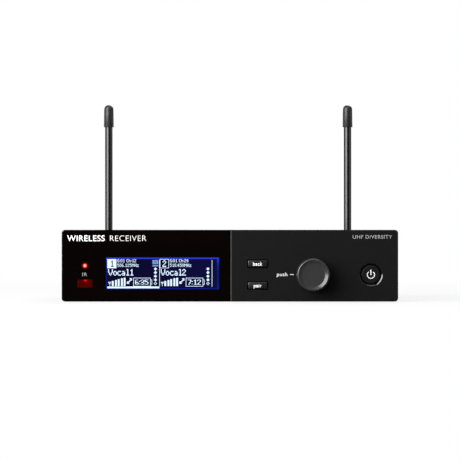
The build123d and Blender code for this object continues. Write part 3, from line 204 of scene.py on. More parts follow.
def moulded(name, colour, roughness, grain, depth, specular=0.5):
    """Moulded plastic: one colour right through, with the mould's grain. Grain and depth are in mm."""
    material = bpy.data.materials.new(name)
    tree = new_tree(material)
    place = add_node(tree, "ShaderNodeTexCoord").outputs["Object"]
    pits = add_node(
        tree,
        "ShaderNodeTexNoise",
        None,
        {"Vector": place, "Scale": 1 / (grain * MM), "Detail": 3.0, "Roughness": 0.6},
    ).outputs["Fac"]
    shades = add_node(tree, "ShaderNodeValToRGB", None, {0: pits})
    shades.color_ramp.elements[0].position = 0.3
    shades.color_ramp.elements[1].position = 0.75
    tone = linear(colour)
    shades.color_ramp.elements[0].color = [c * 0.8 for c in tone[:3]] + [1]
    shades.color_ramp.elements[1].color = [c * 1.25 for c in tone[:3]] + [1]
    polish = add_node(
        tree,
        "ShaderNodeMapRange",
        None,
        {"Value": pits, "To Min": roughness - 0.05, "To Max": min(roughness + 0.07, 1)},
    ).outputs[0]
    bump = add_node(
        tree, "ShaderNodeBump", None, {"Height": pits, "Strength": 0.5, "Distance": depth * MM}
    ).outputs[0]
    shader = add_node(
        tree,
        "ShaderNodeBsdfPrincipled",
        None,
        {
            "Base Color": shades.outputs[0],
            "Roughness": polish,
            "IOR": 1.5,
            "Specular IOR Level": specular,
            "Normal": bump,
        },
    )
    add_node(tree, "ShaderNodeOutputMaterial", None, {"Surface": shader.outputs[0]})
    return material


def shader_of(material):
    return next(n for n in material.node_tree.nodes if n.type == "BSDF_PRINCIPLED")


def painted_shade_inside(material, start, end):
    """Paints shade: blackens the base colour of what lies between two depths behind the panel's face, in
    millimetres, and deeper.
    """
    tree = material.node_tree
    place = add_node(tree, "ShaderNodeTexCoord").outputs["Object"]
    at = add_node(tree, "ShaderNodeSeparateXYZ", None, {0: place})
    depth = add_node(
        tree,
        "ShaderNodeMapRange",
        None,
        {"Value": at.outputs["Y"], "From Min": face_y + start * MM, "From Max": face_y + end * MM},
    ).outputs[0]
    tone = shader_of(material).inputs["Base Color"]
    shades = tone.links[0].from_socket
    painted_shade_tone = add_node(
        tree, "ShaderNodeMix", {"data_type": "RGBA"}, {0: depth, 6: shades, 7: linear("#020202")}
    ).outputs[2]
    tree.links.new(painted_shade_tone, tone)
    return painted_shade_tone


# The grain is about 0.2 mm on the real moulding, and is drawn twice as coarse to show. The sides of the
# holes are blackened with painted shade, and the bevel beside the window is given a lighter colour as a
# painted highlight.
grained_abs = moulded("spark_eroded_black_abs", "#0d0d0d", 0.62, 0.42, 0.05, 0.13)
tree = grained_abs.node_tree
SEAM_LEFT = 0.35 * MM
SEAM_RIGHT = 0.95 * MM
place = add_node(tree, "ShaderNodeTexCoord").outputs["Object"]
across = add_node(tree, "ShaderNodeSeparateXYZ", None, {0: place}).outputs["X"]
painted_shade_walls = painted_shade_inside(grained_abs, 0.05, 0.4)
from_left = add_node(
    tree, "ShaderNodeMath", {"operation": "GREATER_THAN"}, {0: across, 1: SEAM_LEFT}
).outputs[0]
to_right = add_node(
    tree, "ShaderNodeMath", {"operation": "LESS_THAN"}, {0: across, 1: SEAM_RIGHT}
).outputs[0]
bevel = add_node(
    tree, "ShaderNodeMath", {"operation": "MULTIPLY"}, {0: from_left, 1: to_right}
).outputs[0]
# A painted highlight: the bevel beside the window is drawn lighter than the rest.
tone = add_node(
    tree, "ShaderNodeMix", {"data_type": "RGBA"}, {0: bevel, 6: painted_shade_walls, 7: linear("#3c3c3c")}
).outputs[2]
tree.links.new(tone, shader_of(grained_abs).inputs["Base Color"])
dress("front_bezel", grained_abs)

# ---- Window and printed mask ----
# A clear acrylic plate with an anti-reflective hard coat covers the left half. The film bonded behind it is
# printed black all over except at the display, the status light and the infrared port.
led_low, led_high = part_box("status_led")
led_mid = (led_low + led_high) / 2

# The coat leaves about half a percent of the reflection, as from a much lower index than acrylic's 1.49.
coated_acrylic = bpy.data.materials.new("coated_acrylic")
tree = new_tree(coated_acrylic)
shader = add_node(
    tree,
    "ShaderNodeBsdfPrincipled",
    None,
    {"Base Color": linear("#ffffff"), "Roughness": 0.03, "IOR": 1.13, "Transmission Weight": 1.0},
)
add_node(tree, "ShaderNodeOutputMaterial", None, {"Surface": shader.outputs[0]})
dress("display_window", coated_acrylic)

# The ink is a flat warm black. A faint painted glow all over stands for a trace of the backlight coming
# through, and a stronger painted glow round the status light stands for the light that the acrylic spreads
# sideways.
printed_black = moulded("printed_black_film", "#060404", 0.6, 0.5, 0.004, 0.1)
tree = printed_black.node_tree
place = add_node(tree, "ShaderNodeTexCoord").outputs["Object"]
from_light = add_node(
    tree,
    "ShaderNodeVectorMath",
    {"operation": "DISTANCE"},
    {0: place, 1: (led_mid.x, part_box("display_mask")[0].y, led_mid.z)},
).outputs["Value"]
spread = add_node(
    tree,
    "ShaderNodeMapRange",
    {"interpolation_type": "SMOOTHERSTEP"},
    {"Value": from_light, "From Min": 1.2 * MM, "From Max": 3.4 * MM, "To Min": 1.0, "To Max": 0.0},
).outputs[0]
falling = add_node(tree, "ShaderNodeMath", {"operation": "POWER"}, {0: spread, 1: 3.0}).outputs[0]
painted_glow = add_node(tree, "ShaderNodeValToRGB", None, {0: falling})
painted_glow.color_ramp.elements[0].color = linear("#090504")
painted_glow.color_ramp.elements[1].color = linear("#480503")
shader = shader_of(printed_black)
tree.links.new(painted_glow.outputs[0], shader.inputs["Emission Color"])
shader.inputs["Emission Strength"].default_value = 1.0
dress("display_mask", printed_black)

# ---- Display ----
# A graphic liquid crystal glass of 240 by 64 dots in white on blue, for two channels side by side. The
# diodes behind its edges show as a bright blue border. It lies behind the mask on a thin foam gasket.
GLASS_MARGIN = 2.2 * MM
PITCH = 0.2675 * MM
GAP_BETWEEN_DOTS = 0.01 * MM
COLUMNS = 240
ROWS = 64
CHANNEL_WIDTH = 115
glass_low, glass_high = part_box("lcd_glass")
view_left = glass_low.x + GLASS_MARGIN
view_right = glass_high.x - GLASS_MARGIN
view_bottom = glass_low.z + GLASS_MARGIN
view_top = glass_high.z - GLASS_MARGIN
dots_left = view_left + 0.7 * MM
dots_top = view_top - 0.95 * MM
dots_right = dots_left + COLUMNS * PITCH
dots_bottom = dots_top - ROWS * PITCH

# Each character is seven rows of dots, written from the top, and a 1 is a lit dot.
GLYPHS = {
    "0": "0110 1001 1001 1001 1001 1001 0110",
    "1": "0010 0110 0010 0010 0010 0010 0111",
    "2": "0110 1001 0001 0010 0100 1000 1111",
    "3": "0110 1001 0001 0110 0001 1001 0110",
    "4": "0010 0110 1010 1010 1111 0010 0010",
    "5": "1111 1000 1110 0001 0001 1001 0110",
    "6": "0110 1000 1000 1110 1001 1001 0110",
    "7": "1111 0001 0001 0010 0010 0100 0100",
    "8": "0110 1001 1001 0110 1001 1001 0110",
    "V": "10001 10001 10001 10001 01010 01010 00100",
    "o": "0000 0000 0110 1001 1001 1001 0110",
    "c": "0000 0000 0111 1000 1000 1000 0111",
    "a": "0000 0000 0110 0001 0111 1001 0111",
    "l": "0110 0010 0010 0010 0010 0010 0111",
    "G": "0111 1000 1000 1011 1001 1001 0111",
    "C": "0110 1001 1000 1000 1000 1001 0110",
    "h": "1000 1000 1110 1001 1001 1001 1001",
    "M": "10001 11011 10101 10101 10001 10001 10001",
    "H": "1001 1001 1001 1111 1001 1001 1001",
    "z": "0000 0000 1111 0010 0100 1000 1111",
    ":": "0 0 1 0 0 1 0",
    ".": "0 0 0 0 0 0 1",
    " ": "00 00 00 00 00 00 00",
}
lit = set()
dimmed = set()


def fill(column, row, width, height, dots=lit, on=True):
    """Lights a block of dots, or clears it."""
    block = {(c, r) for c in range(column, column + width) for r in range(row, row + height)}
    if on:
        dots.update(block)
    else:
        dots.difference_update(block)


def outline(column, row, width, height):
    fill(column, row, width, height)
    fill(column + 1, row + 1, width - 2, height - 2, on=False)


def write(words, column, row, wide=1, tall=(1,) * 7, space=1, on=True):
    """Writes words in dots. Each dot of a glyph is wide dots across, and tall gives each row's height."""
    for character in words:
        rows = GLYPHS[character].split()
        down = row
        for bits, height in zip(rows, tall):
            for across, bit in enumerate(bits):
                if bit == "1":
                    fill(column + across * wide, down, wide, height, on=on)
            down += height
        column += len(rows[0]) * wide + space


def diamond(column, row, size):
    for down in range(-size, size + 1):
        across = size - abs(down)
        fill(column - across, row + down, 2 * across + 1, 1)


DOUBLE = (2,) * 7
READOUTS = [
    ("1", "G:01 Ch:12", "506.125MHz", "Vocal1", "6:35"),
    ("2", "G:01 Ch:24", "518.450MHz", "Vocal2", "7:12"),
]
for channel, (number, group, frequency, label, time_left) in enumerate(READOUTS):
    start = channel * CHANNEL_WIDTH
    if channel == 0:
        fill(start, 0, 20, 20)
    else:
        outline(start, 0, 20, 20)
    write(number, start + 6, 3, 2, DOUBLE, on=channel == 1)
    write(group, start + 22, 0)
    write(frequency, start + 22, 10)
    write(label, start + 2, 22, 2, DOUBLE)
    # Aerial sign and five bars for the strength of the radio signal.
    fill(start + 2, 50, 7, 1)
    fill(start + 3, 51, 1, 2)
    fill(start + 7, 51, 1, 2)
    fill(start + 4, 53, 3, 1)
    fill(start + 5, 51, 1, 8)
    for bar, top in enumerate((48, 46, 44, 42, 41)):
        fill(start + 10 + round(6.6 * bar), top, 4, 59 - top)
    # A two-way arrow, and the battery's time left in its outline.
    for step in range(7):
        fill(start + 45 + step, 50 - step, 2, 2)
    fill(start + 49, 42, 5, 2)
    fill(start + 52, 42, 2, 5)
    fill(start + 43, 52, 5, 2)
    fill(start + 43, 49, 2, 5)
    outline(start + 57, 41, 38, 19)
    outline(start + 94, 45, 4, 11)
    write(time_left, start + 61, 45, 2, (1, 2, 2, 2, 2, 1, 1))
    # A column of five diamonds for the sound level, the last one not lit inside.
    for row in (21, 29, 37, 45, 53):
        diamond(start + 105, row, 3)
    fill(start + 104, 52, 3, 3, on=False)
    fill(start + 114, 2, 1, 58)
# The first channel is chosen: a bar below it, and the warning box at the top of its level column.
fill(0, 60, 114, 4)
fill(99, 2, 13, 9, dimmed)
fill(99, 13, 13, 3, dimmed)
for step in range(5):
    fill(103 + step, 4 + step, 1, 1, dimmed, False)
    fill(107 - step, 4 + step, 1, 1, dimmed, False)


def film(name, left, right, bottom, top, front, thickness):
    """A film that faces the front: a plane of its size, drawn out to its thickness."""
    bpy.ops.mesh.primitive_plane_add(size=1, rotation=(math.pi / 2, 0, 0))
    piece = bpy.context.object
    piece.name = name
    piece.scale = (right - left, top - bottom, 1)
    piece.location = ((left + right) / 2, front + thickness, (bottom + top) / 2)
    bpy.ops.object.transform_apply(location=True, rotation=True, scale=True)
    bpy.ops.object.mode_set(mode="EDIT")
    bpy.ops.mesh.select_all(action="SELECT")
    bpy.ops.mesh.extrude_region_move(TRANSFORM_OT_translate={"value": (0, -thickness, 0)})
    bpy.ops.mesh.select_all(action="SELECT")
    bpy.ops.mesh.normals_make_consistent(inside=False)
    bpy.ops.object.mode_set(mode="OBJECT")
    return piece


def fit(piece, material, body, slot, *replaced):
    """Gives a finished piece its material and body, and hides the CAD nodes that it stands for."""
    piece.data.materials.clear()
    piece.data.materials.append(material)
    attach(piece, body)
    if replaced:
        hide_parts(*replaced)


def glowing(name, strength=1.0):
    """A material that only gives light. Returns it with its tree and its emission node."""
    material = bpy.data.materials.new(name)
    tree = new_tree(material)
    light = add_node(tree, "ShaderNodeEmission", None, {"Strength": strength})
    add_node(tree, "ShaderNodeOutputMaterial", None, {"Surface": light.outputs[0]})
    return material, tree, light


def ramp(tree, value, low, high, colours):
    """Colours at even steps between two values."""
    share = add_node(tree, "ShaderNodeMapRange", None, {"Value": value, "From Min": low, "From Max": high})
    shades = add_node(tree, "ShaderNodeValToRGB", None, {0: share.outputs[0]})
    points = shades.color_ramp.elements
    while len(points) < len(colours):
        points.new(0.5)
    for i, colour in enumerate(colours):
        points[i].position = i / (len(colours) - 1)
        points[i].color = linear(colour)
    return shades.outputs[0]


# The backlight's diodes stand behind the upper edge, so the border is brightest there.
edge_light, tree, light = glowing("blue_backlight")
place = add_node(tree, "ShaderNodeTexCoord").outputs["Object"]
upwards = add_node(tree, "ShaderNodeSeparateXYZ", None, {0: place}).outputs["Z"]
blues = ramp(tree, upwards, view_bottom, view_top, ["#10208a", "#0c1a78", "#0c1a78", "#142290", "#2c3cd4"])
tree.links.new(blues, light.inputs["Color"])
border = film(
    "display_border",
    view_left - 1.0 * MM,
    view_right + 1.0 * MM,
    view_bottom - 1.0 * MM,
    view_top + 1.0 * MM,
    glass_low.y - 0.03 * MM,
    0.02 * MM,
)
fit(border, edge_light, "case", "display_glass")

# The unlit dots keep back most of the light, a little less on the right.
dark_field, tree, light = glowing("dark_liquid_crystal")
place = add_node(tree, "ShaderNodeTexCoord").outputs["Object"]
across = add_node(tree, "ShaderNodeSeparateXYZ", None, {0: place}).outputs["X"]
blues = ramp(tree, across, dots_left, dots_right, ["#0d0a2a", "#0e0b34", "#0f0f3e"])
tree.links.new(blues, light.inputs["Color"])
field = film(
    "display_field", dots_left, dots_right, dots_bottom, dots_top, glass_low.y - 0.05 * MM, 0.02 * MM
)
fit(field, dark_field, "case", "display_glass")


def dot_at(place):
    """The column and row of the dot at a place."""
    return int((place.x - dots_left) / PITCH), int((dots_top - place.z) / PITCH)


# The lit dots are the squares of one grid, drawn in a little from each other.
bpy.ops.mesh.primitive_grid_add(
    x_subdivisions=COLUMNS, y_subdivisions=ROWS, size=1, rotation=(math.pi / 2, 0, 0)
)
dots = bpy.context.object
dots.name = "display_dots"
dots.scale = (COLUMNS * PITCH, ROWS * PITCH, 1)
dots.location = ((dots_left + dots_right) / 2, glass_low.y - 0.06 * MM, (dots_bottom + dots_top) / 2)
bpy.ops.object.transform_apply(location=True, rotation=True, scale=True)
bpy.context.tool_settings.mesh_select_mode = (False, False, True)
for face in dots.data.polygons:
    face.select = dot_at(face.center) not in lit | dimmed
bpy.ops.object.mode_set(mode="EDIT")
bpy.ops.mesh.delete(type="FACE")
bpy.ops.mesh.select_all(action="SELECT")
bpy.ops.mesh.inset(thickness=GAP_BETWEEN_DOTS, use_individual=True)
bpy.ops.mesh.select_all(action="INVERT")
bpy.ops.mesh.delete(type="FACE")
bpy.ops.object.mode_set(mode="OBJECT")
# A lit dot passes the backlight whole and is a cool white, and a dimmed one passes half and is a pale blue.
white_dots, tree, light = glowing("clear_liquid_crystal", 1.5)
light.inputs["Color"].default_value = linear("#d6eaff")
blue_dots, tree, light = glowing("half_clear_liquid_crystal")
light.inputs["Color"].default_value = linear("#86a8ea")
fit(dots, white_dots, "case", "display_glass")
dots.data.materials.append(blue_dots)
for face in dots.data.polygons:
    face.material_index = int(dot_at(face.center) in dimmed)

# Behind the films is the glass itself, nearly black and glossy. The foam round it has no gloss at all, and
# the frame that spreads the backlight is a milky white.
dress("lcd_glass", moulded("rear_polariser", "#0a0a2a", 0.25, 2.0, 0.002))
dress("lcd_gasket", moulded("closed_cell_foam", "#0b0b0b", 0.9, 0.5, 0.1, 0.2))
dress("lcd_frame", moulded("white_polycarbonate", "#d8d8d2", 0.45, 1.2, 0.01))

# ---- Status light and infrared port ----
# A red diode shines through a round hole in the print. Below it a dark red filter passes infrared to the
# transceiver behind it, and a painted glow at the filter's upper edge stands for the status light's light.
filter_low, filter_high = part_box("ir_filter")

# The diode's middle is nearly white, because the eye is dazzled there, and its rim is deep red.
lens, tree, light = glowing("lit_red_diode")
from_axis = add_node(
    tree,
    "ShaderNodeVectorMath",
    {"operation": "DISTANCE"},
    {
        0: add_node(
            tree,
            "ShaderNodeVectorMath",
            {"operation": "MULTIPLY"},
            {0: add_node(tree, "ShaderNodeTexCoord").outputs["Object"], 1: (1, 0, 1)},
        ).outputs[0],
        1: (led_mid.x, 0, led_mid.z),
    },
).outputs["Value"]
tree.links.new(
    ramp(tree, from_axis, 0.0, 1.5 * MM, ["#fff0e8", "#ffd8c8", "#ff8a70", "#f41c10", "#8c0603"]),
    light.inputs["Color"],
)
dress("status_led", lens)

# The filter is dyed a dark red all through, with hardly any shine behind the window. Its deep even red and
# the brighter spot below its upper edge are a painted glow.
infrared_filter = moulded("infrared_filter_acrylic", "#0a0000", 0.15, 1.5, 0.001, 0.02)
tree = infrared_filter.node_tree
from_painted_glow_spot = add_node(
    tree,
    "ShaderNodeVectorMath",
    {"operation": "DISTANCE"},
    {
        0: add_node(tree, "ShaderNodeTexCoord").outputs["Object"],
        1: ((filter_low.x + filter_high.x) / 2 + 0.3 * MM, filter_low.y, filter_high.z - 0.9 * MM),
    },
).outputs["Value"]
shader = shader_of(infrared_filter)
tree.links.new(
    ramp(tree, from_painted_glow_spot, 0.2 * MM, 2.6 * MM, ["#f01c10", "#900804", "#540301", "#4c0301"]),
    shader.inputs["Emission Color"],
)
shader.inputs["Emission Strength"].default_value = 1.0
dress("ir_filter", infrared_filter)

# The transceiver is cast in black epoxy, which comes out of its mould as smooth as glass.
dress("ir_transceiver", moulded("black_epoxy", "#101010", 0.22, 1.0, 0.003))

# ---- Push keys ----
# Two keys moulded in black ABS with a satin finish. Each has a flange that keeps it behind the panel and a
# stem that reaches its switch.
CAP_W = 11.2 * MM
CAP_H = 3.9 * MM
CAP_EDGE_R = 0.5 * MM
FLANGE_T = 0.8 * MM
STEM_R = 1.8 * MM
STEM_L = 1.2 * MM


def deselect():
    bpy.ops.object.select_all(action="DESELECT")


def rounded(piece, width, segments):
    """Rounds a piece's sharp edges and smooths what is left."""
    deselect()
    piece.select_set(True)
    bpy.context.view_layer.objects.active = piece
    edge = piece.modifiers.new("rounding", "BEVEL")
    edge.width = width
    edge.segments = segments
    edge.limit_method = "ANGLE"
    edge.angle_limit = math.radians(30)
    bpy.ops.object.modifier_apply(modifier=edge.name)
    bpy.ops.object.shade_smooth_by_angle(angle=math.radians(38))


def turned(name, axis, centre, rings, steps=96):
    """A turned piece on an axis along Y or Z. Each ring is its place from the centre and its radius."""
    unit = Vector((0, 1, 0)) if axis == "Y" else Vector((0, 0, 1))
    place, radius = rings[0]
    bpy.ops.mesh.primitive_circle_add(
        vertices=steps,
        radius=radius,
        fill_type="NGON",
        location=centre + unit * place,
        rotation=(math.pi / 2, 0, 0) if axis == "Y" else (0, 0, 0),
    )
    piece = bpy.context.object
    piece.name = name
    bpy.ops.object.transform_apply(location=True, rotation=True, scale=True)
    bpy.ops.object.mode_set(mode="EDIT")
    bpy.ops.mesh.select_all(action="SELECT")
    for next_place, next_radius in rings[1:]:
        bpy.ops.mesh.extrude_region_move(TRANSFORM_OT_translate={"value": unit * (next_place - place)})
        share = next_radius / radius
        bpy.ops.transform.resize(
            value=(share, 1, share) if axis == "Y" else (share, share, 1),
            center_override=centre + unit * next_place,
        )
        place, radius = next_place, next_radius
    bpy.ops.mesh.select_all(action="SELECT")
    bpy.ops.mesh.normals_make_consistent(inside=False)
    bpy.ops.object.mode_set(mode="OBJECT")
    bpy.ops.object.shade_smooth_by_angle(angle=math.radians(32))
    return piece


def join(pieces, name):
    """Joins pieces into the first one."""
    deselect()
    for piece in pieces:
        piece.select_set(True)
    bpy.context.view_layer.objects.active = pieces[0]
    bpy.ops.object.join()
    pieces[0].name = name
    return pieces[0]


def key(node):
    """A key, drawn out from its flange: the flange's plate, the cap and, behind, the stem."""
    low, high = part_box(node)
    middle = (low + high) / 2
    flange_back = high.y - STEM_L
    bpy.ops.mesh.primitive_plane_add(size=1, rotation=(math.pi / 2, 0, 0))
    piece = bpy.context.object
    piece.scale = (high.x - low.x, high.z - low.z, 1)
    piece.location = (middle.x, flange_back, middle.z)
    bpy.ops.object.transform_apply(location=True, rotation=True, scale=True)
    bpy.ops.object.mode_set(mode="EDIT")
    bpy.ops.mesh.select_all(action="SELECT")
    bpy.ops.mesh.extrude_region_move(TRANSFORM_OT_translate={"value": (0, -FLANGE_T, 0)})
    bpy.ops.mesh.extrude_region_move(TRANSFORM_OT_translate={"value": (0, 0, 0)})
    bpy.ops.transform.resize(
        value=(CAP_W / (high.x - low.x), 1, CAP_H / (high.z - low.z)), center_override=middle
    )
    bpy.ops.mesh.extrude_region_move(
        TRANSFORM_OT_translate={"value": (0, low.y - flange_back + FLANGE_T, 0)}
    )
    bpy.ops.mesh.select_all(action="SELECT")
    bpy.ops.mesh.normals_make_consistent(inside=False)
    bpy.ops.object.mode_set(mode="OBJECT")
    rounded(piece, CAP_EDGE_R, 4)
    axis = Vector((middle.x, flange_back, middle.z))
    rings = [(-0.2 * MM, STEM_R), (STEM_L - 0.2 * MM, STEM_R), (STEM_L, 0.85 * STEM_R)]
    stem = turned(node + "_stem", "Y", axis, rings, 32)
    return join([piece, stem], node + "_moulding")


# Satin caps: their left edges catch a thin line of light. Painted shade blackens the caps' sides and
# flanges from just in front of the panel's face inwards, so the gap round them stays black.
key_abs = moulded("satin_black_abs", "#171717", 0.24, 0.3, 0.004, 0.7)
painted_shade_inside(key_abs, -0.1, 0.2)
for name in ("back", "pair"):
    fit(key(name + "_key"), key_abs, name + "_button", "key_plastic", name + "_key")

# ---- Power key ----
# A round key in black ABS, flush with the panel, in a ring that is pressed into the bezel. The ring's inner
# edge slopes down to the key.
POWER_R = 5.45 * MM
power_low, power_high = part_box("power_key")
power_mid = (power_low + power_high) / 2
power_axis = Vector((power_mid.x, face_y, power_mid.z))
flange_r = (power_high.x - power_low.x) / 2
front = power_low.y - face_y
stem_back = power_high.y - face_y
flange_back = stem_back - STEM_L
power_cap = turned(
    "power_key_moulding",
    "Y",
    power_axis,
    [
        (stem_back, STEM_R),
        (flange_back, STEM_R),
        (flange_back, flange_r),
        (flange_back - FLANGE_T, flange_r),
        (flange_back - FLANGE_T, POWER_R),
        (front + 0.35 * MM, POWER_R),
        (front + 0.1 * MM, POWER_R - 0.1 * MM),
        (front, POWER_R - 0.35 * MM),
        (front + 0.05 * MM, POWER_R - 1.2 * MM),
        (front + 0.12 * MM, 0.4 * MM),
    ],
)
# The key has a finer and duller finish than the other two, so that its sign stands out. Painted shade
# blackens what lies more than 0.1 mm behind the panel's face, so the gap round the key stays black.
power_abs = moulded("fine_satin_black_abs", "#0a0a0a", 0.5, 0.3, 0.008, 0.2)
painted_shade_inside(power_abs, 0.1, 0.6)
fit(power_cap, power_abs, "power_button", "key_plastic", "power_key")


def turned_ring(name, axis, centre, rings, steps=96):
    """A turned ring: its section's corners, each a place and a radius, in order round the section."""
    unit = Vector((0, 1, 0)) if axis == "Y" else Vector((0, 0, 1))
    place, radius = rings[0]
    bpy.ops.mesh.primitive_circle_add(
        vertices=steps,
        radius=radius,
        fill_type="NOTHING",
        location=centre + unit * place,
        rotation=(math.pi / 2, 0, 0) if axis == "Y" else (0, 0, 0),
    )
    piece = bpy.context.object
    piece.name = name
    bpy.ops.object.transform_apply(location=True, rotation=True, scale=True)
    bpy.ops.object.mode_set(mode="EDIT")
    bpy.ops.mesh.select_mode(type="VERT")
    bpy.ops.mesh.select_all(action="SELECT")
    for next_place, next_radius in rings[1:] + rings[:1]:
        bpy.ops.mesh.extrude_region_move(TRANSFORM_OT_translate={"value": unit * (next_place - place)})
        share = next_radius / radius
        bpy.ops.transform.resize(
            value=(share, 1, share) if axis == "Y" else (share, share, 1),
            center_override=centre + unit * next_place,
        )
        place, radius = next_place, next_radius
    bpy.ops.mesh.select_all(action="SELECT")
    bpy.ops.mesh.remove_doubles(threshold=0.001 * MM)
    bpy.ops.mesh.normals_make_consistent(inside=False)
    bpy.ops.object.mode_set(mode="OBJECT")
    bpy.ops.object.shade_smooth_by_angle(angle=math.radians(32))
    return piece


ring_low, ring_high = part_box("power_ring")
ring_out = (ring_high.x - ring_low.x) / 2
ring_in = ring_out - 0.9 * MM
ring_t = ring_high.y - ring_low.y
polished_ring = turned_ring(
    "power_ring_moulding",
    "Y",
    power_axis,
    [
        (ring_t, ring_in),
        (ring_t, ring_out),
        (0.06 * MM, ring_out),
        (0.0, ring_out - 0.06 * MM),
        (0.02 * MM, ring_out - 0.12 * MM),
        (0.14 * MM, ring_out - 0.4 * MM),
        (0.32 * MM, ring_out - 0.7 * MM),
        (0.5 * MM, ring_in),
    ],
)
# The ring is polished like glass. Painted shade blackens the lower part of its slope, from 0.1 mm behind
# the panel's face, and elsewhere it is black except where its slope mirrors the light.
ring_abs = moulded("polished_black_abs", "#161616", 0.12, 0.8, 0.0005, 1.0)
painted_shade_inside(ring_abs, 0.1, 0.3)
fit(polished_ring, ring_abs, "case", "black_gloss", "power_ring")

# ---- Knob ----
# One moulding in black ABS with a fine soft finish: a dished face inside a rounded rim, and a skirt that
# hides the encoder's nut. It is pushed onto the D shaft, and turns and clicks with it.
KNOB_CAVITY = 3.6 * MM
RIM_R = 0.85 * MM
RIM_STEPS = 7
SLOPE_W = 2.0 * MM
DISH_DEPTH = 0.85 * MM
knob_low, knob_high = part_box("control_knob")
knob_mid = (knob_low + knob_high) / 2
knob_r = (knob_high.x - knob_low.x) / 2
knob_front = knob_low.y - face_y
knob_axis = Vector((knob_mid.x, face_y, knob_mid.z))
skirt = -1.1 * MM
top_r = knob_r - 0.3 * MM
knob_rings = [
    (skirt - KNOB_CAVITY, knob_r - 1.8 * MM),
    (skirt, knob_r - 1.8 * MM),
    (skirt, knob_r - 0.35 * MM),
    (skirt - 0.1 * MM, knob_r - 0.1 * MM),
    (skirt - 0.35 * MM, knob_r),
]
for step in range(RIM_STEPS + 1):
    turn = math.radians(90) * step / RIM_STEPS
    knob_rings.append(
        (knob_front + RIM_R * (1 - math.sin(turn)), top_r - RIM_R * (1 - math.cos(turn)))
    )
crest_r = top_r - RIM_R
for share, sunk in ((0.1, 0.08), (0.35, 0.4), (0.7, 0.8), (0.9, 0.96), (1.0, 1.0), (1.15, 1.02)):
    knob_rings.append((knob_front + sunk * DISH_DEPTH, crest_r - share * SLOPE_W))
knob_rings.append((knob_front + 0.95 * DISH_DEPTH, 0.5 * MM))
knob = turned("control_knob_moulding", "Y", knob_axis, knob_rings, 128)
# A soft satin finish: the rim and the slope opposite the light show as grey arcs, and the face is even.
knob_abs = moulded("soft_satin_black_abs", "#2b2b2b", 0.25, 0.25, 0.003, 0.8)
fit(knob, knob_abs, "knob_push", "knob_plastic", "control_knob")

# ---- Printed words and signs ----
# Screen-printed in one pass of white ink, a hundredth of a millimetre thick, and in grey where the light is
# meant to be low. The keys' words are printed on the keys and move with them.
INK_T = 0.012 * MM
# The font's capitals take this much of its size, whatever hangs below the line.
CAPITALS = 0.7


def lettering(name, words, place, high, ink, body, wide, bold=0.0, rear=False):
    """Printed words centred on a place, with capitals that high and the whole that wide."""
    bpy.ops.object.text_add()
    piece = bpy.context.object
    piece.name = name
    piece.data.body = words
    piece.data.size = 1.0
    piece_t = 0.001
    piece.data.extrude = piece_t
    piece.data.offset = bold
    piece.data.align_x = "CENTER"
    piece.data.space_character = 1.08
    bpy.ops.object.convert(target="MESH")
    corners = [v.co for v in piece.data.vertices]
    left, right = min(c.x for c in corners), max(c.x for c in corners)
    across = wide / (right - left)
    piece.scale = (across, high / CAPITALS, INK_T / (2 * piece_t))
    turn = Matrix.Rotation(math.pi if rear else 0, 4, "Z") @ Matrix.Rotation(math.pi / 2, 4, "X")
    piece.rotation_euler = turn.to_euler()
    middle = turn @ Vector(((left + right) / 2 * across, high / 2, 0))
    piece.location = Vector(place) - middle
    bpy.ops.object.transform_apply(location=True, rotation=True, scale=True)
    fit(piece, ink, body, "white_plastic")


# Both inks are matt and stand out evenly from any side.
TITLE_DOWN = 4.9 * MM
SMALL_H = 2.1 * MM
white_ink = moulded("white_screen_ink", "#f4f4f4", 0.6, 0.6, 0.004, 0.2)
grey_ink = moulded("grey_screen_ink", "#9a9a9a", 0.6, 0.6, 0.004, 0.2)
front_ink = face_y - 0.02 * MM
window_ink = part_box("display_window")[0].y - 0.02 * MM
for name, words, x, wide, bold in (
    ("print_title", "WIRELESS", -84.3, 22.0, 0.012),
    ("print_subtitle", "RECEIVER", -59.6, 21.2, -0.014),
):
    place = (x * MM, window_ink, panel_high.z - TITLE_DOWN)
    lettering(name, words, place, 3.4 * MM, white_ink, "case", wide * MM, bold)
place = (83.4 * MM, front_ink, panel_high.z - 4.1 * MM)
lettering("print_band", "UHF DIVERSITY", place, SMALL_H, grey_ink, "case", 23 * MM, 0.003)
place = (led_mid.x, window_ink, led_mid.z - 5.1 * MM)
lettering("print_ir", "IR", place, SMALL_H, grey_ink, "case", 2.8 * MM, -0.01)
place = (knob_mid.x - 17.9 * MM, front_ink, knob_mid.z + 0.2 * MM)
lettering("print_push", "push", place, SMALL_H, white_ink, "case", 6.1 * MM)
dash = film(
    "print_push_dash", knob_mid.x - 13.3 * MM, knob_mid.x - 11.1 * MM, knob_mid.z - 0.15 * MM,
    knob_mid.z + 0.15 * MM, front_ink, INK_T,
)
fit(dash, white_ink, "case", "white_plastic")
for name, wide in (("back", 5.4), ("pair", 4.6)):
    low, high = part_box(name + "_key")
    place = ((low.x + high.x) / 2, low.y - 0.01 * MM, (low.z + high.z) / 2 - 0.05 * MM)
    lettering("print_" + name, name, place, SMALL_H, white_ink, name + "_button", wide * MM, 0.016)

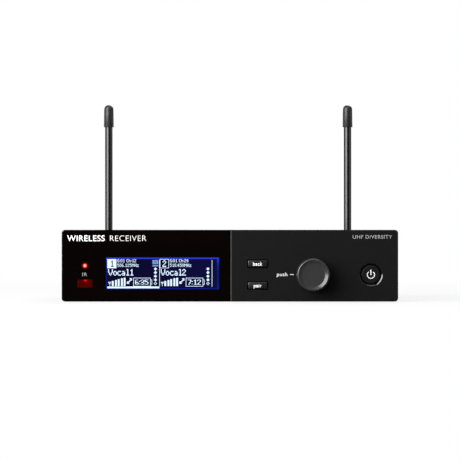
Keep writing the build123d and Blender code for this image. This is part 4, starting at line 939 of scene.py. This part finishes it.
# The power sign is an open circle with a stroke through its opening.
SIGN_R = 2.1 * MM
SIGN_STROKE = 0.42 * MM
SIGN_OPENING = math.radians(35)
STROKE_W = 0.52 * MM
STROKE_H = 3.1 * MM
STROKE_RISE = 0.9 * MM
sign_at = Vector((power_mid.x, power_low.y - 0.005 * MM, power_mid.z - 0.1 * MM))
bpy.ops.mesh.primitive_circle_add(
    vertices=72,
    radius=SIGN_R - SIGN_STROKE / 2,
    fill_type="NOTHING",
    location=sign_at,
    rotation=(math.pi / 2, 0, 0),
)
sign = bpy.context.object
sign.name = "print_power_sign"
bpy.ops.object.transform_apply(location=True, rotation=True, scale=True)
bpy.ops.object.mode_set(mode="EDIT")
bpy.ops.mesh.select_all(action="SELECT")
bpy.ops.mesh.extrude_region_move(TRANSFORM_OT_translate={"value": (0, 0, 0)})
share = (SIGN_R + SIGN_STROKE / 2) / (SIGN_R - SIGN_STROKE / 2)
bpy.ops.transform.resize(value=(share, 1, share), center_override=sign_at)
bpy.ops.object.mode_set(mode="OBJECT")
for face in sign.data.polygons:
    out = face.center - sign_at
    face.select = abs(math.atan2(out.x, out.z)) < SIGN_OPENING
bpy.ops.object.mode_set(mode="EDIT")
bpy.ops.mesh.select_mode(type="FACE")
bpy.ops.mesh.delete(type="FACE")
bpy.ops.mesh.select_all(action="SELECT")
bpy.ops.mesh.extrude_region_move(TRANSFORM_OT_translate={"value": (0, -INK_T, 0)})
bpy.ops.mesh.select_all(action="SELECT")
bpy.ops.mesh.normals_make_consistent(inside=False)
bpy.ops.object.mode_set(mode="OBJECT")
stroke = film(
    "power_sign_stroke",
    sign_at.x - STROKE_W / 2,
    sign_at.x + STROKE_W / 2,
    sign_at.z + SIGN_R + STROKE_RISE - STROKE_H,
    sign_at.z + SIGN_R + STROKE_RISE,
    sign_at.y - INK_T,
    INK_T,
)
sign = join([sign, stroke], "print_power_sign")
fit(sign, white_ink, "power_button", "white_plastic")

# ---- Front board and encoder ----
# Behind the keys a glass-fibre board carries the switches, the encoder and the diodes. Flat cable leads
# from it to the main board. The encoder's steel body is zinc-plated and its shaft is turned.


def metal(name, colour, roughness, streak, along=(1, 1, 1)):
    """Bare or plated metal. The streaks are that wide in millimetres, and along stretches them."""
    material = bpy.data.materials.new(name)
    tree = new_tree(material)
    place = add_node(tree, "ShaderNodeTexCoord").outputs["Object"]
    drawn = add_node(tree, "ShaderNodeMapping", None, {"Vector": place, "Scale": along}).outputs[0]
    marks = add_node(
        tree,
        "ShaderNodeTexNoise",
        None,
        {"Vector": drawn, "Scale": 1 / (streak * MM), "Detail": 4.0, "Roughness": 0.55},
    ).outputs["Fac"]
    polish = add_node(
        tree,
        "ShaderNodeMapRange",
        None,
        {
            "Value": marks,
            "From Min": 0.3,
            "From Max": 0.7,
            "To Min": roughness * 0.75,
            "To Max": roughness * 1.3,
        },
    ).outputs[0]
    tone = linear(colour)
    shades = add_node(tree, "ShaderNodeValToRGB", None, {0: marks})
    shades.color_ramp.elements[0].position = 0.3
    shades.color_ramp.elements[1].position = 0.7
    shades.color_ramp.elements[0].color = [c * 0.85 for c in tone[:3]] + [1]
    shades.color_ramp.elements[1].color = [min(c * 1.1, 1) for c in tone[:3]] + [1]
    bump = add_node(
        tree, "ShaderNodeBump", None, {"Height": marks, "Strength": 0.3, "Distance": 0.004 * MM}
    ).outputs[0]
    shader = add_node(
        tree,
        "ShaderNodeBsdfPrincipled",
        None,
        {"Base Color": shades.outputs[0], "Metallic": 1.0, "Roughness": polish, "Normal": bump},
    )
    add_node(tree, "ShaderNodeOutputMaterial", None, {"Surface": shader.outputs[0]})
    return material


# Solder resist over copper: the tracks show through as lighter lines about half a millimetre wide.
solder_resist = moulded("green_solder_resist", "#0c4a26", 0.3, 1.0, 0.003)
tree = solder_resist.node_tree
tracks = add_node(
    tree,
    "ShaderNodeTexBrick",
    {"offset": 0.37, "squash": 0.6},
    {
        "Vector": add_node(tree, "ShaderNodeTexCoord").outputs["Object"],
        "Color1": linear("#0a4322"),
        "Color2": linear("#0d5029"),
        "Mortar": linear("#2a7a48"),
        "Scale": 1.0,
        "Mortar Size": 0.25 * MM,
        "Brick Width": 7.0 * MM,
        "Row Height": 1.8 * MM,
    },
).outputs[0]
tree.links.new(tracks, shader_of(solder_resist).inputs["Base Color"])

# Zinc plating is a bluish grey with a dull shine, and nickel plating is warmer and brighter. The acetal of
# the plungers is a waxy white, and the nylon of the sockets is a dull black.
zinc_plate = metal("bright_zinc_plate", "#b9bcc0", 0.3, 1.5)
black_nylon = moulded("black_nylon", "#161616", 0.5, 0.35, 0.02)
white_acetal = moulded("white_acetal", "#dcdcd6", 0.38, 0.8, 0.005)
dress("front_board", solder_resist)
dress("bezel_screws", zinc_plate)
dress("key_switches", black_nylon)
for node in ("back_plunger", "pair_plunger", "power_plunger", "encoder_rotor"):
    dress(node, white_acetal)
dress("encoder_body", zinc_plate)
dress("encoder_shaft", metal("turned_brass_nickel_plated", "#bdb8ac", 0.22, 0.2, (0.2, 1, 0.2)))
nickel_plate = metal("satin_nickel_plate", "#b9b4a8", 0.24, 0.5)
dress("encoder_nut", nickel_plate)
dress("ribbon_sockets", black_nylon)

# The sheath is light grey. Painted shade darkens it between the wires, which lie 1.27 mm apart, and a
# painted highlight lightens it over them.
ribbon_sheath = moulded("ribbon_cable_sheath", "#b4b4ae", 0.45, 0.8, 0.004)
tree = ribbon_sheath.node_tree
WIRE_PITCH = 1.27 * MM
place = add_node(tree, "ShaderNodeTexCoord").outputs["Object"]
wires = add_node(
    tree,
    "ShaderNodeTexWave",
    {"wave_type": "BANDS", "bands_direction": "X"},
    {"Vector": place, "Scale": math.pi / (10 * WIRE_PITCH)},
).outputs["Fac"]
shades = ramp(tree, wires, 0.0, 1.0, ["#6e6e6a", "#b4b4ae", "#c4c4be"])
tree.links.new(shades, shader_of(ribbon_sheath).inputs["Base Color"])
dress("ribbon_cable", ribbon_sheath)

# ---- Case ----
# A tray and a cover, folded from 1 mm steel sheet and powder-coated in black with a fine texture. The
# cover's sides have the vent slots, and the rack ears' press-in nuts are zinc-plated.
# The coat's orange peel is about 0.4 mm across, and is drawn twice as coarse to show.
powder_coat = moulded("fine_texture_powder_coat", "#1d1d1e", 0.52, 0.8, 0.06, 0.45)
dress("chassis_tray", powder_coat)
dress("top_cover", powder_coat)
dress("rack_ear_nuts", zinc_plate)
# The feet's rubber is dull and a little grey.
dress("rubber_feet", moulded("grey_black_rubber", "#1a1a1a", 0.8, 0.5, 0.03, 0.25))

# ---- Screws ----
# Pan-head steel screws, blackened, with a cross recess: four hold the cover to the tray, and two hold each
# audio outlet.
RECESS_W = 0.75 * MM
RECESS_L = 3.0 * MM
RECESS_DEPTH = 1.0 * MM


def cross_screw(seat, outward, head_r, head_t, shank_r, shank_l):
    """A pan-head screw. Its head stands on the seat, and its shank goes the other way."""
    recess = min(RECESS_DEPTH, 0.75 * head_t)
    screw = turned(
        "screw",
        "Z",
        Vector((0, 0, 0)),
        [
            (-shank_l, 0.7 * shank_r),
            (-shank_l + 0.3 * shank_r, shank_r),
            (0.0, shank_r),
            (0.0, head_r - 0.1 * head_t),
            (0.1 * head_t, head_r),
            (0.35 * head_t, head_r),
            (0.7 * head_t, 0.93 * head_r),
            (0.9 * head_t, 0.8 * head_r),
            (head_t, 0.6 * head_r),
        ],
        48,
    )
    for quarter in (0, 1):
        turn = (0, 0, quarter * math.pi / 2)
        bpy.ops.mesh.primitive_cube_add(size=1, location=(0, 0, head_t), rotation=turn)
        cutter = bpy.context.object
        cutter.scale = (min(RECESS_L, 1.25 * head_r), RECESS_W, 2 * recess)
        bpy.ops.object.transform_apply(location=True, rotation=True, scale=True)
        deselect()
        screw.select_set(True)
        bpy.context.view_layer.objects.active = screw
        cut = screw.modifiers.new("recess", "BOOLEAN")
        cut.object = cutter
        cut.solver = "EXACT"
        bpy.ops.object.modifier_apply(modifier=cut.name)
        bpy.data.objects.remove(cutter)
    turn = Vector(outward).to_track_quat("Z", "Y").to_matrix().to_4x4()
    screw.matrix_world = Matrix.Translation(seat) @ turn
    bpy.ops.object.transform_apply(location=True, rotation=True, scale=True)
    bpy.ops.object.shade_smooth_by_angle(angle=math.radians(32))
    return screw


SCREW_R = 1.45 * MM
HEAD_R = 2.7 * MM
COVER_HEAD_T = 0.8 * MM
OUTLET_HEAD_T = 1.6 * MM
FROM_CASE_END = 9.0 * MM
LIP_SCREW_Z = 4.0 * MM
case_low, case_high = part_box("top_cover")
# Oiled black oxide: the screws are nearly as dark as the case, with a soft sheen on their crowns.
blackened_steel = metal("blackened_steel", "#2c2c2e", 0.38, 0.6)
screws = []
for side, edge in ((-1, case_low.x), (1, case_high.x)):
    for y in (case_low.y + FROM_CASE_END, case_high.y - FROM_CASE_END):
        seat = (edge, y, case_low.z + LIP_SCREW_Z)
        screws.append(cross_screw(seat, (side, 0, 0), HEAD_R, COVER_HEAD_T, SCREW_R, 3.6 * MM))
fit(join(screws, "cover_screw_set"), blackened_steel, "case", "dark_screw", "cover_screws")

# ---- Main board ----
# The radio board lies on six turned standoffs. Tinned cans screen its two receivers, and moulded chips and
# sleeved capacitors stand on it. The tin is bright and a little cloudy, and the epoxy has a low shine.
tin_plate = metal("tin_plate", "#c4c5c4", 0.34, 3.0)
dress("main_board", solder_resist)
dress("board_standoffs", nickel_plate)
dress("main_board_screws", zinc_plate)
dress("radio_shield_cans", tin_plate)
dress("board_components", moulded("moulded_epoxy", "#151515", 0.42, 0.4, 0.01))

# ---- Outlets and sockets on the rear ----
# Two three-pole outlets in black zinc castings with gilt pins, two jack sockets with nickel nuts, a
# screened network socket and the inlet of the power supply.
# The lacquer on the castings is a smooth black, and the gold of the pins is warm and bright against it.
cast_zinc = moulded("black_lacquered_zinc", "#151515", 0.36, 0.9, 0.01)
gilt = metal("gold_plate", "#e0b25a", 0.2, 0.8)
dress("xlr_shells", cast_zinc)
dress("xlr_pins", gilt)
dress("jack_sockets", black_nylon)
dress("jack_nuts", nickel_plate)
dress("network_socket", tin_plate)
dress("network_lights", moulded("green_tinted_epoxy", "#1d6a2c", 0.25, 1.0, 0.002))
dress("network_contacts", gilt)
dress("power_socket", black_nylon)
dress("power_socket_pin", nickel_plate)
shell_low, shell_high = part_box("xlr_shells")
pin_low, pin_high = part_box("xlr_screws")
FLANGE_HALF_W = 13.0 * MM
OUTLET_SCREW_X = 9.5 * MM
OUTLET_SCREW_Z = 12.0 * MM
row_z = (shell_low.z + shell_high.z) / 2
seat_y = pin_high.y - OUTLET_HEAD_T
screws = []
for x in (shell_low.x + FLANGE_HALF_W, shell_high.x - FLANGE_HALF_W):
    for side in (-1, 1):
        seat = (x + side * OUTLET_SCREW_X, seat_y, row_z + side * OUTLET_SCREW_Z)
        screws.append(cross_screw(seat, (0, 1, 0), HEAD_R, OUTLET_HEAD_T, SCREW_R, seat_y - pin_low.y))
fit(join(screws, "outlet_screw_set"), blackened_steel, "case", "dark_screw", "xlr_screws")

# The words over each socket, in the same white ink as the front's.
rear_ink = case_high.y + 0.02 * MM
word_z = case_high.z - 2.3 * MM
REAR_H = 1.8 * MM
jack_low, jack_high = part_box("jack_nuts")
lan_low, lan_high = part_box("network_socket")
inlet_low, inlet_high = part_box("power_socket")
jack_r = (jack_high.z - jack_low.z) / 2
REAR_WORDS = (
    ("network", "NETWORK", (lan_low.x + lan_high.x) / 2, 14.5),
    ("jack_2", "OUTPUT 2", jack_low.x + jack_r, 12.5),
    ("jack_1", "OUTPUT 1", jack_high.x - jack_r, 12.5),
    ("inlet", "12 V", (inlet_low.x + inlet_high.x) / 2, 6.0),
)
for name, words, x, wide in REAR_WORDS:
    place = (x, rear_ink, word_z)
    lettering("print_rear_" + name, words, place, REAR_H, white_ink, "case", wide * MM, 0.008, rear=True)

# ---- Antenna sockets ----
# Bayonet sockets, turned in brass and nickel-plated, with a white insulator round each centre contact. A
# hexagon nut holds each one in the rear panel.
# Bright nickel mirrors the room with a warm tint, and the insulators are a soft matt white.
bright_nickel = metal("bright_nickel_plate", "#c6c1b4", 0.16, 0.4)
dress("antenna_sockets", bright_nickel)
dress("antenna_socket_nuts", nickel_plate)
dress("antenna_socket_cores", moulded("white_fluoropolymer", "#e4e4de", 0.5, 0.9, 0.004, 0.3))

# ---- Coupling rings ----
# The ring that locks each antenna on with a quarter turn, turned in brass and nickel-plated. The grip has
# flutes, milled along it.
FLUTES = 24
POINTS_PER_FLUTE = 4
FLUTE_DEPTH = 0.45 * MM
RING_WALL_R = 5.0 * MM
SHANK_HOLE_R = 3.7 * MM
RING_WEB = 2.6 * MM
for side in ("left", "right"):
    low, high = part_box("bayonet_ring_" + side)
    centre = Vector(((low.x + high.x) / 2, low.y, (low.z + high.z) / 2))
    long = high.y - low.y
    wide = (high.x - low.x) / 2
    ring = turned_ring(
        "coupling_ring_" + side,
        "Y",
        centre,
        [
            (0.0, RING_WALL_R),
            (0.0, wide - 0.4 * MM),
            (0.4 * MM, wide),
            (1.6 * MM, wide),
            (1.8 * MM, wide - 0.35 * MM),
            (2.4 * MM, wide - 0.35 * MM),
            (2.6 * MM, wide),
            (3.0 * MM, wide - 0.001 * MM),
            (long - 2.2 * MM, wide - 0.001 * MM),
            (long - 1.8 * MM, wide),
            (long - 1.0 * MM, wide),
            (long - 0.2 * MM, wide - 0.8 * MM),
            (long, wide - 1.1 * MM),
            (long, SHANK_HOLE_R),
            (long - RING_WEB, SHANK_HOLE_R),
            (long - RING_WEB, RING_WALL_R),
        ],
        FLUTES * POINTS_PER_FLUTE,
    )
    bpy.ops.object.mode_set(mode="EDIT")
    bpy.ops.mesh.select_all(action="DESELECT")
    bpy.ops.object.mode_set(mode="OBJECT")
    for vertex in ring.data.vertices:
        out = vertex.co - centre
        turn = math.degrees(math.atan2(out.x, out.z)) % (360 / FLUTES)
        between = abs(turn - 180 / FLUTES) < 90 / FLUTES * 0.6
        on_grip = 2.9 * MM < out.y < long - 2.1 * MM and math.hypot(out.x, out.z) > wide - 0.1 * MM
        vertex.select = between and on_grip
    bpy.ops.object.mode_set(mode="EDIT")
    bpy.ops.mesh.select_mode(type="VERT")
    share = 1 - FLUTE_DEPTH / wide
    bpy.ops.transform.resize(value=(share, 1, share), center_override=centre)
    bpy.ops.object.mode_set(mode="OBJECT")
    fit(ring, bright_nickel, "coupling_" + side, "nickel", "bayonet_ring_" + side)
    dress("antenna_plug_" + side, bright_nickel)

# ---- Antennas ----
# A right-angle elbow and a cap in black nylon, on a flexible rod that has a smooth rubber sleeve. The elbow
# is moulded round the plug's shank, and the cap is glued on.
CAP_SOCKET = 10.0 * MM
DOME_STEPS = 8
# The sleeve is smooth enough to draw the light out into one sharp line, and the cap blurs it.
sleeve_rubber = moulded("satin_rubber_sleeve", "#0d0d0c", 0.17, 6.0, 0.0005, 0.7)
cap_nylon = moulded("satin_black_nylon", "#222221", 0.36, 2.5, 0.001, 0.6)
for side in ("left", "right"):
    body = "antenna_" + side
    dress("antenna_elbow_" + side, cap_nylon)
    low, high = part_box("antenna_whip_" + side)
    foot = Vector(((low.x + high.x) / 2, (low.y + high.y) / 2, low.z))
    whip_r = (high.x - low.x) / 2
    long = high.z - low.z
    whip = turned(
        "whip_sleeve_" + side,
        "Z",
        foot,
        [(0.0, whip_r - 0.3 * MM), (0.3 * MM, whip_r)]
        + [(long * share, whip_r) for share in (0.3, 0.6, 0.85)]
        + [(long - 0.3 * MM, whip_r), (long, whip_r - 0.3 * MM)],
        64,
    )
    fit(whip, sleeve_rubber, body, "antenna_rubber", "antenna_whip_" + side)
    low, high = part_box("antenna_tip_" + side)
    foot = Vector(((low.x + high.x) / 2, (low.y + high.y) / 2, low.z))
    base_r = (high.x - low.x) / 2
    dome_r = base_r - 0.2 * MM
    long = high.z - low.z
    rings = [
        (CAP_SOCKET, 0.3 * MM),
        (CAP_SOCKET, whip_r + 0.05 * MM),
        (0.0, whip_r + 0.05 * MM),
        (0.0, base_r - 0.3 * MM),
        (0.09 * MM, base_r - 0.09 * MM),
        (0.3 * MM, base_r),
    ]
    for step in range(DOME_STEPS + 1):
        turn = math.radians(88) * step / DOME_STEPS
        rings.append((long - dome_r * (1 - math.sin(turn)), dome_r * math.cos(turn) ** 0.8))
    cap = turned("antenna_cap_" + side, "Z", foot, rings, 64)
    fit(cap, cap_nylon, body, "antenna_plastic", "antenna_tip_" + side)
    ear = "A" if side == "left" else "B"
    name, words, place = "print_rear_antenna_" + side, "ANTENNA " + ear, (foot.x, rear_ink, word_z)
    lettering(name, words, place, REAR_H, white_ink, "case", 14 * MM, 0.008, rear=True)

# ---- Last update ----
bpy.context.view_layer.update()
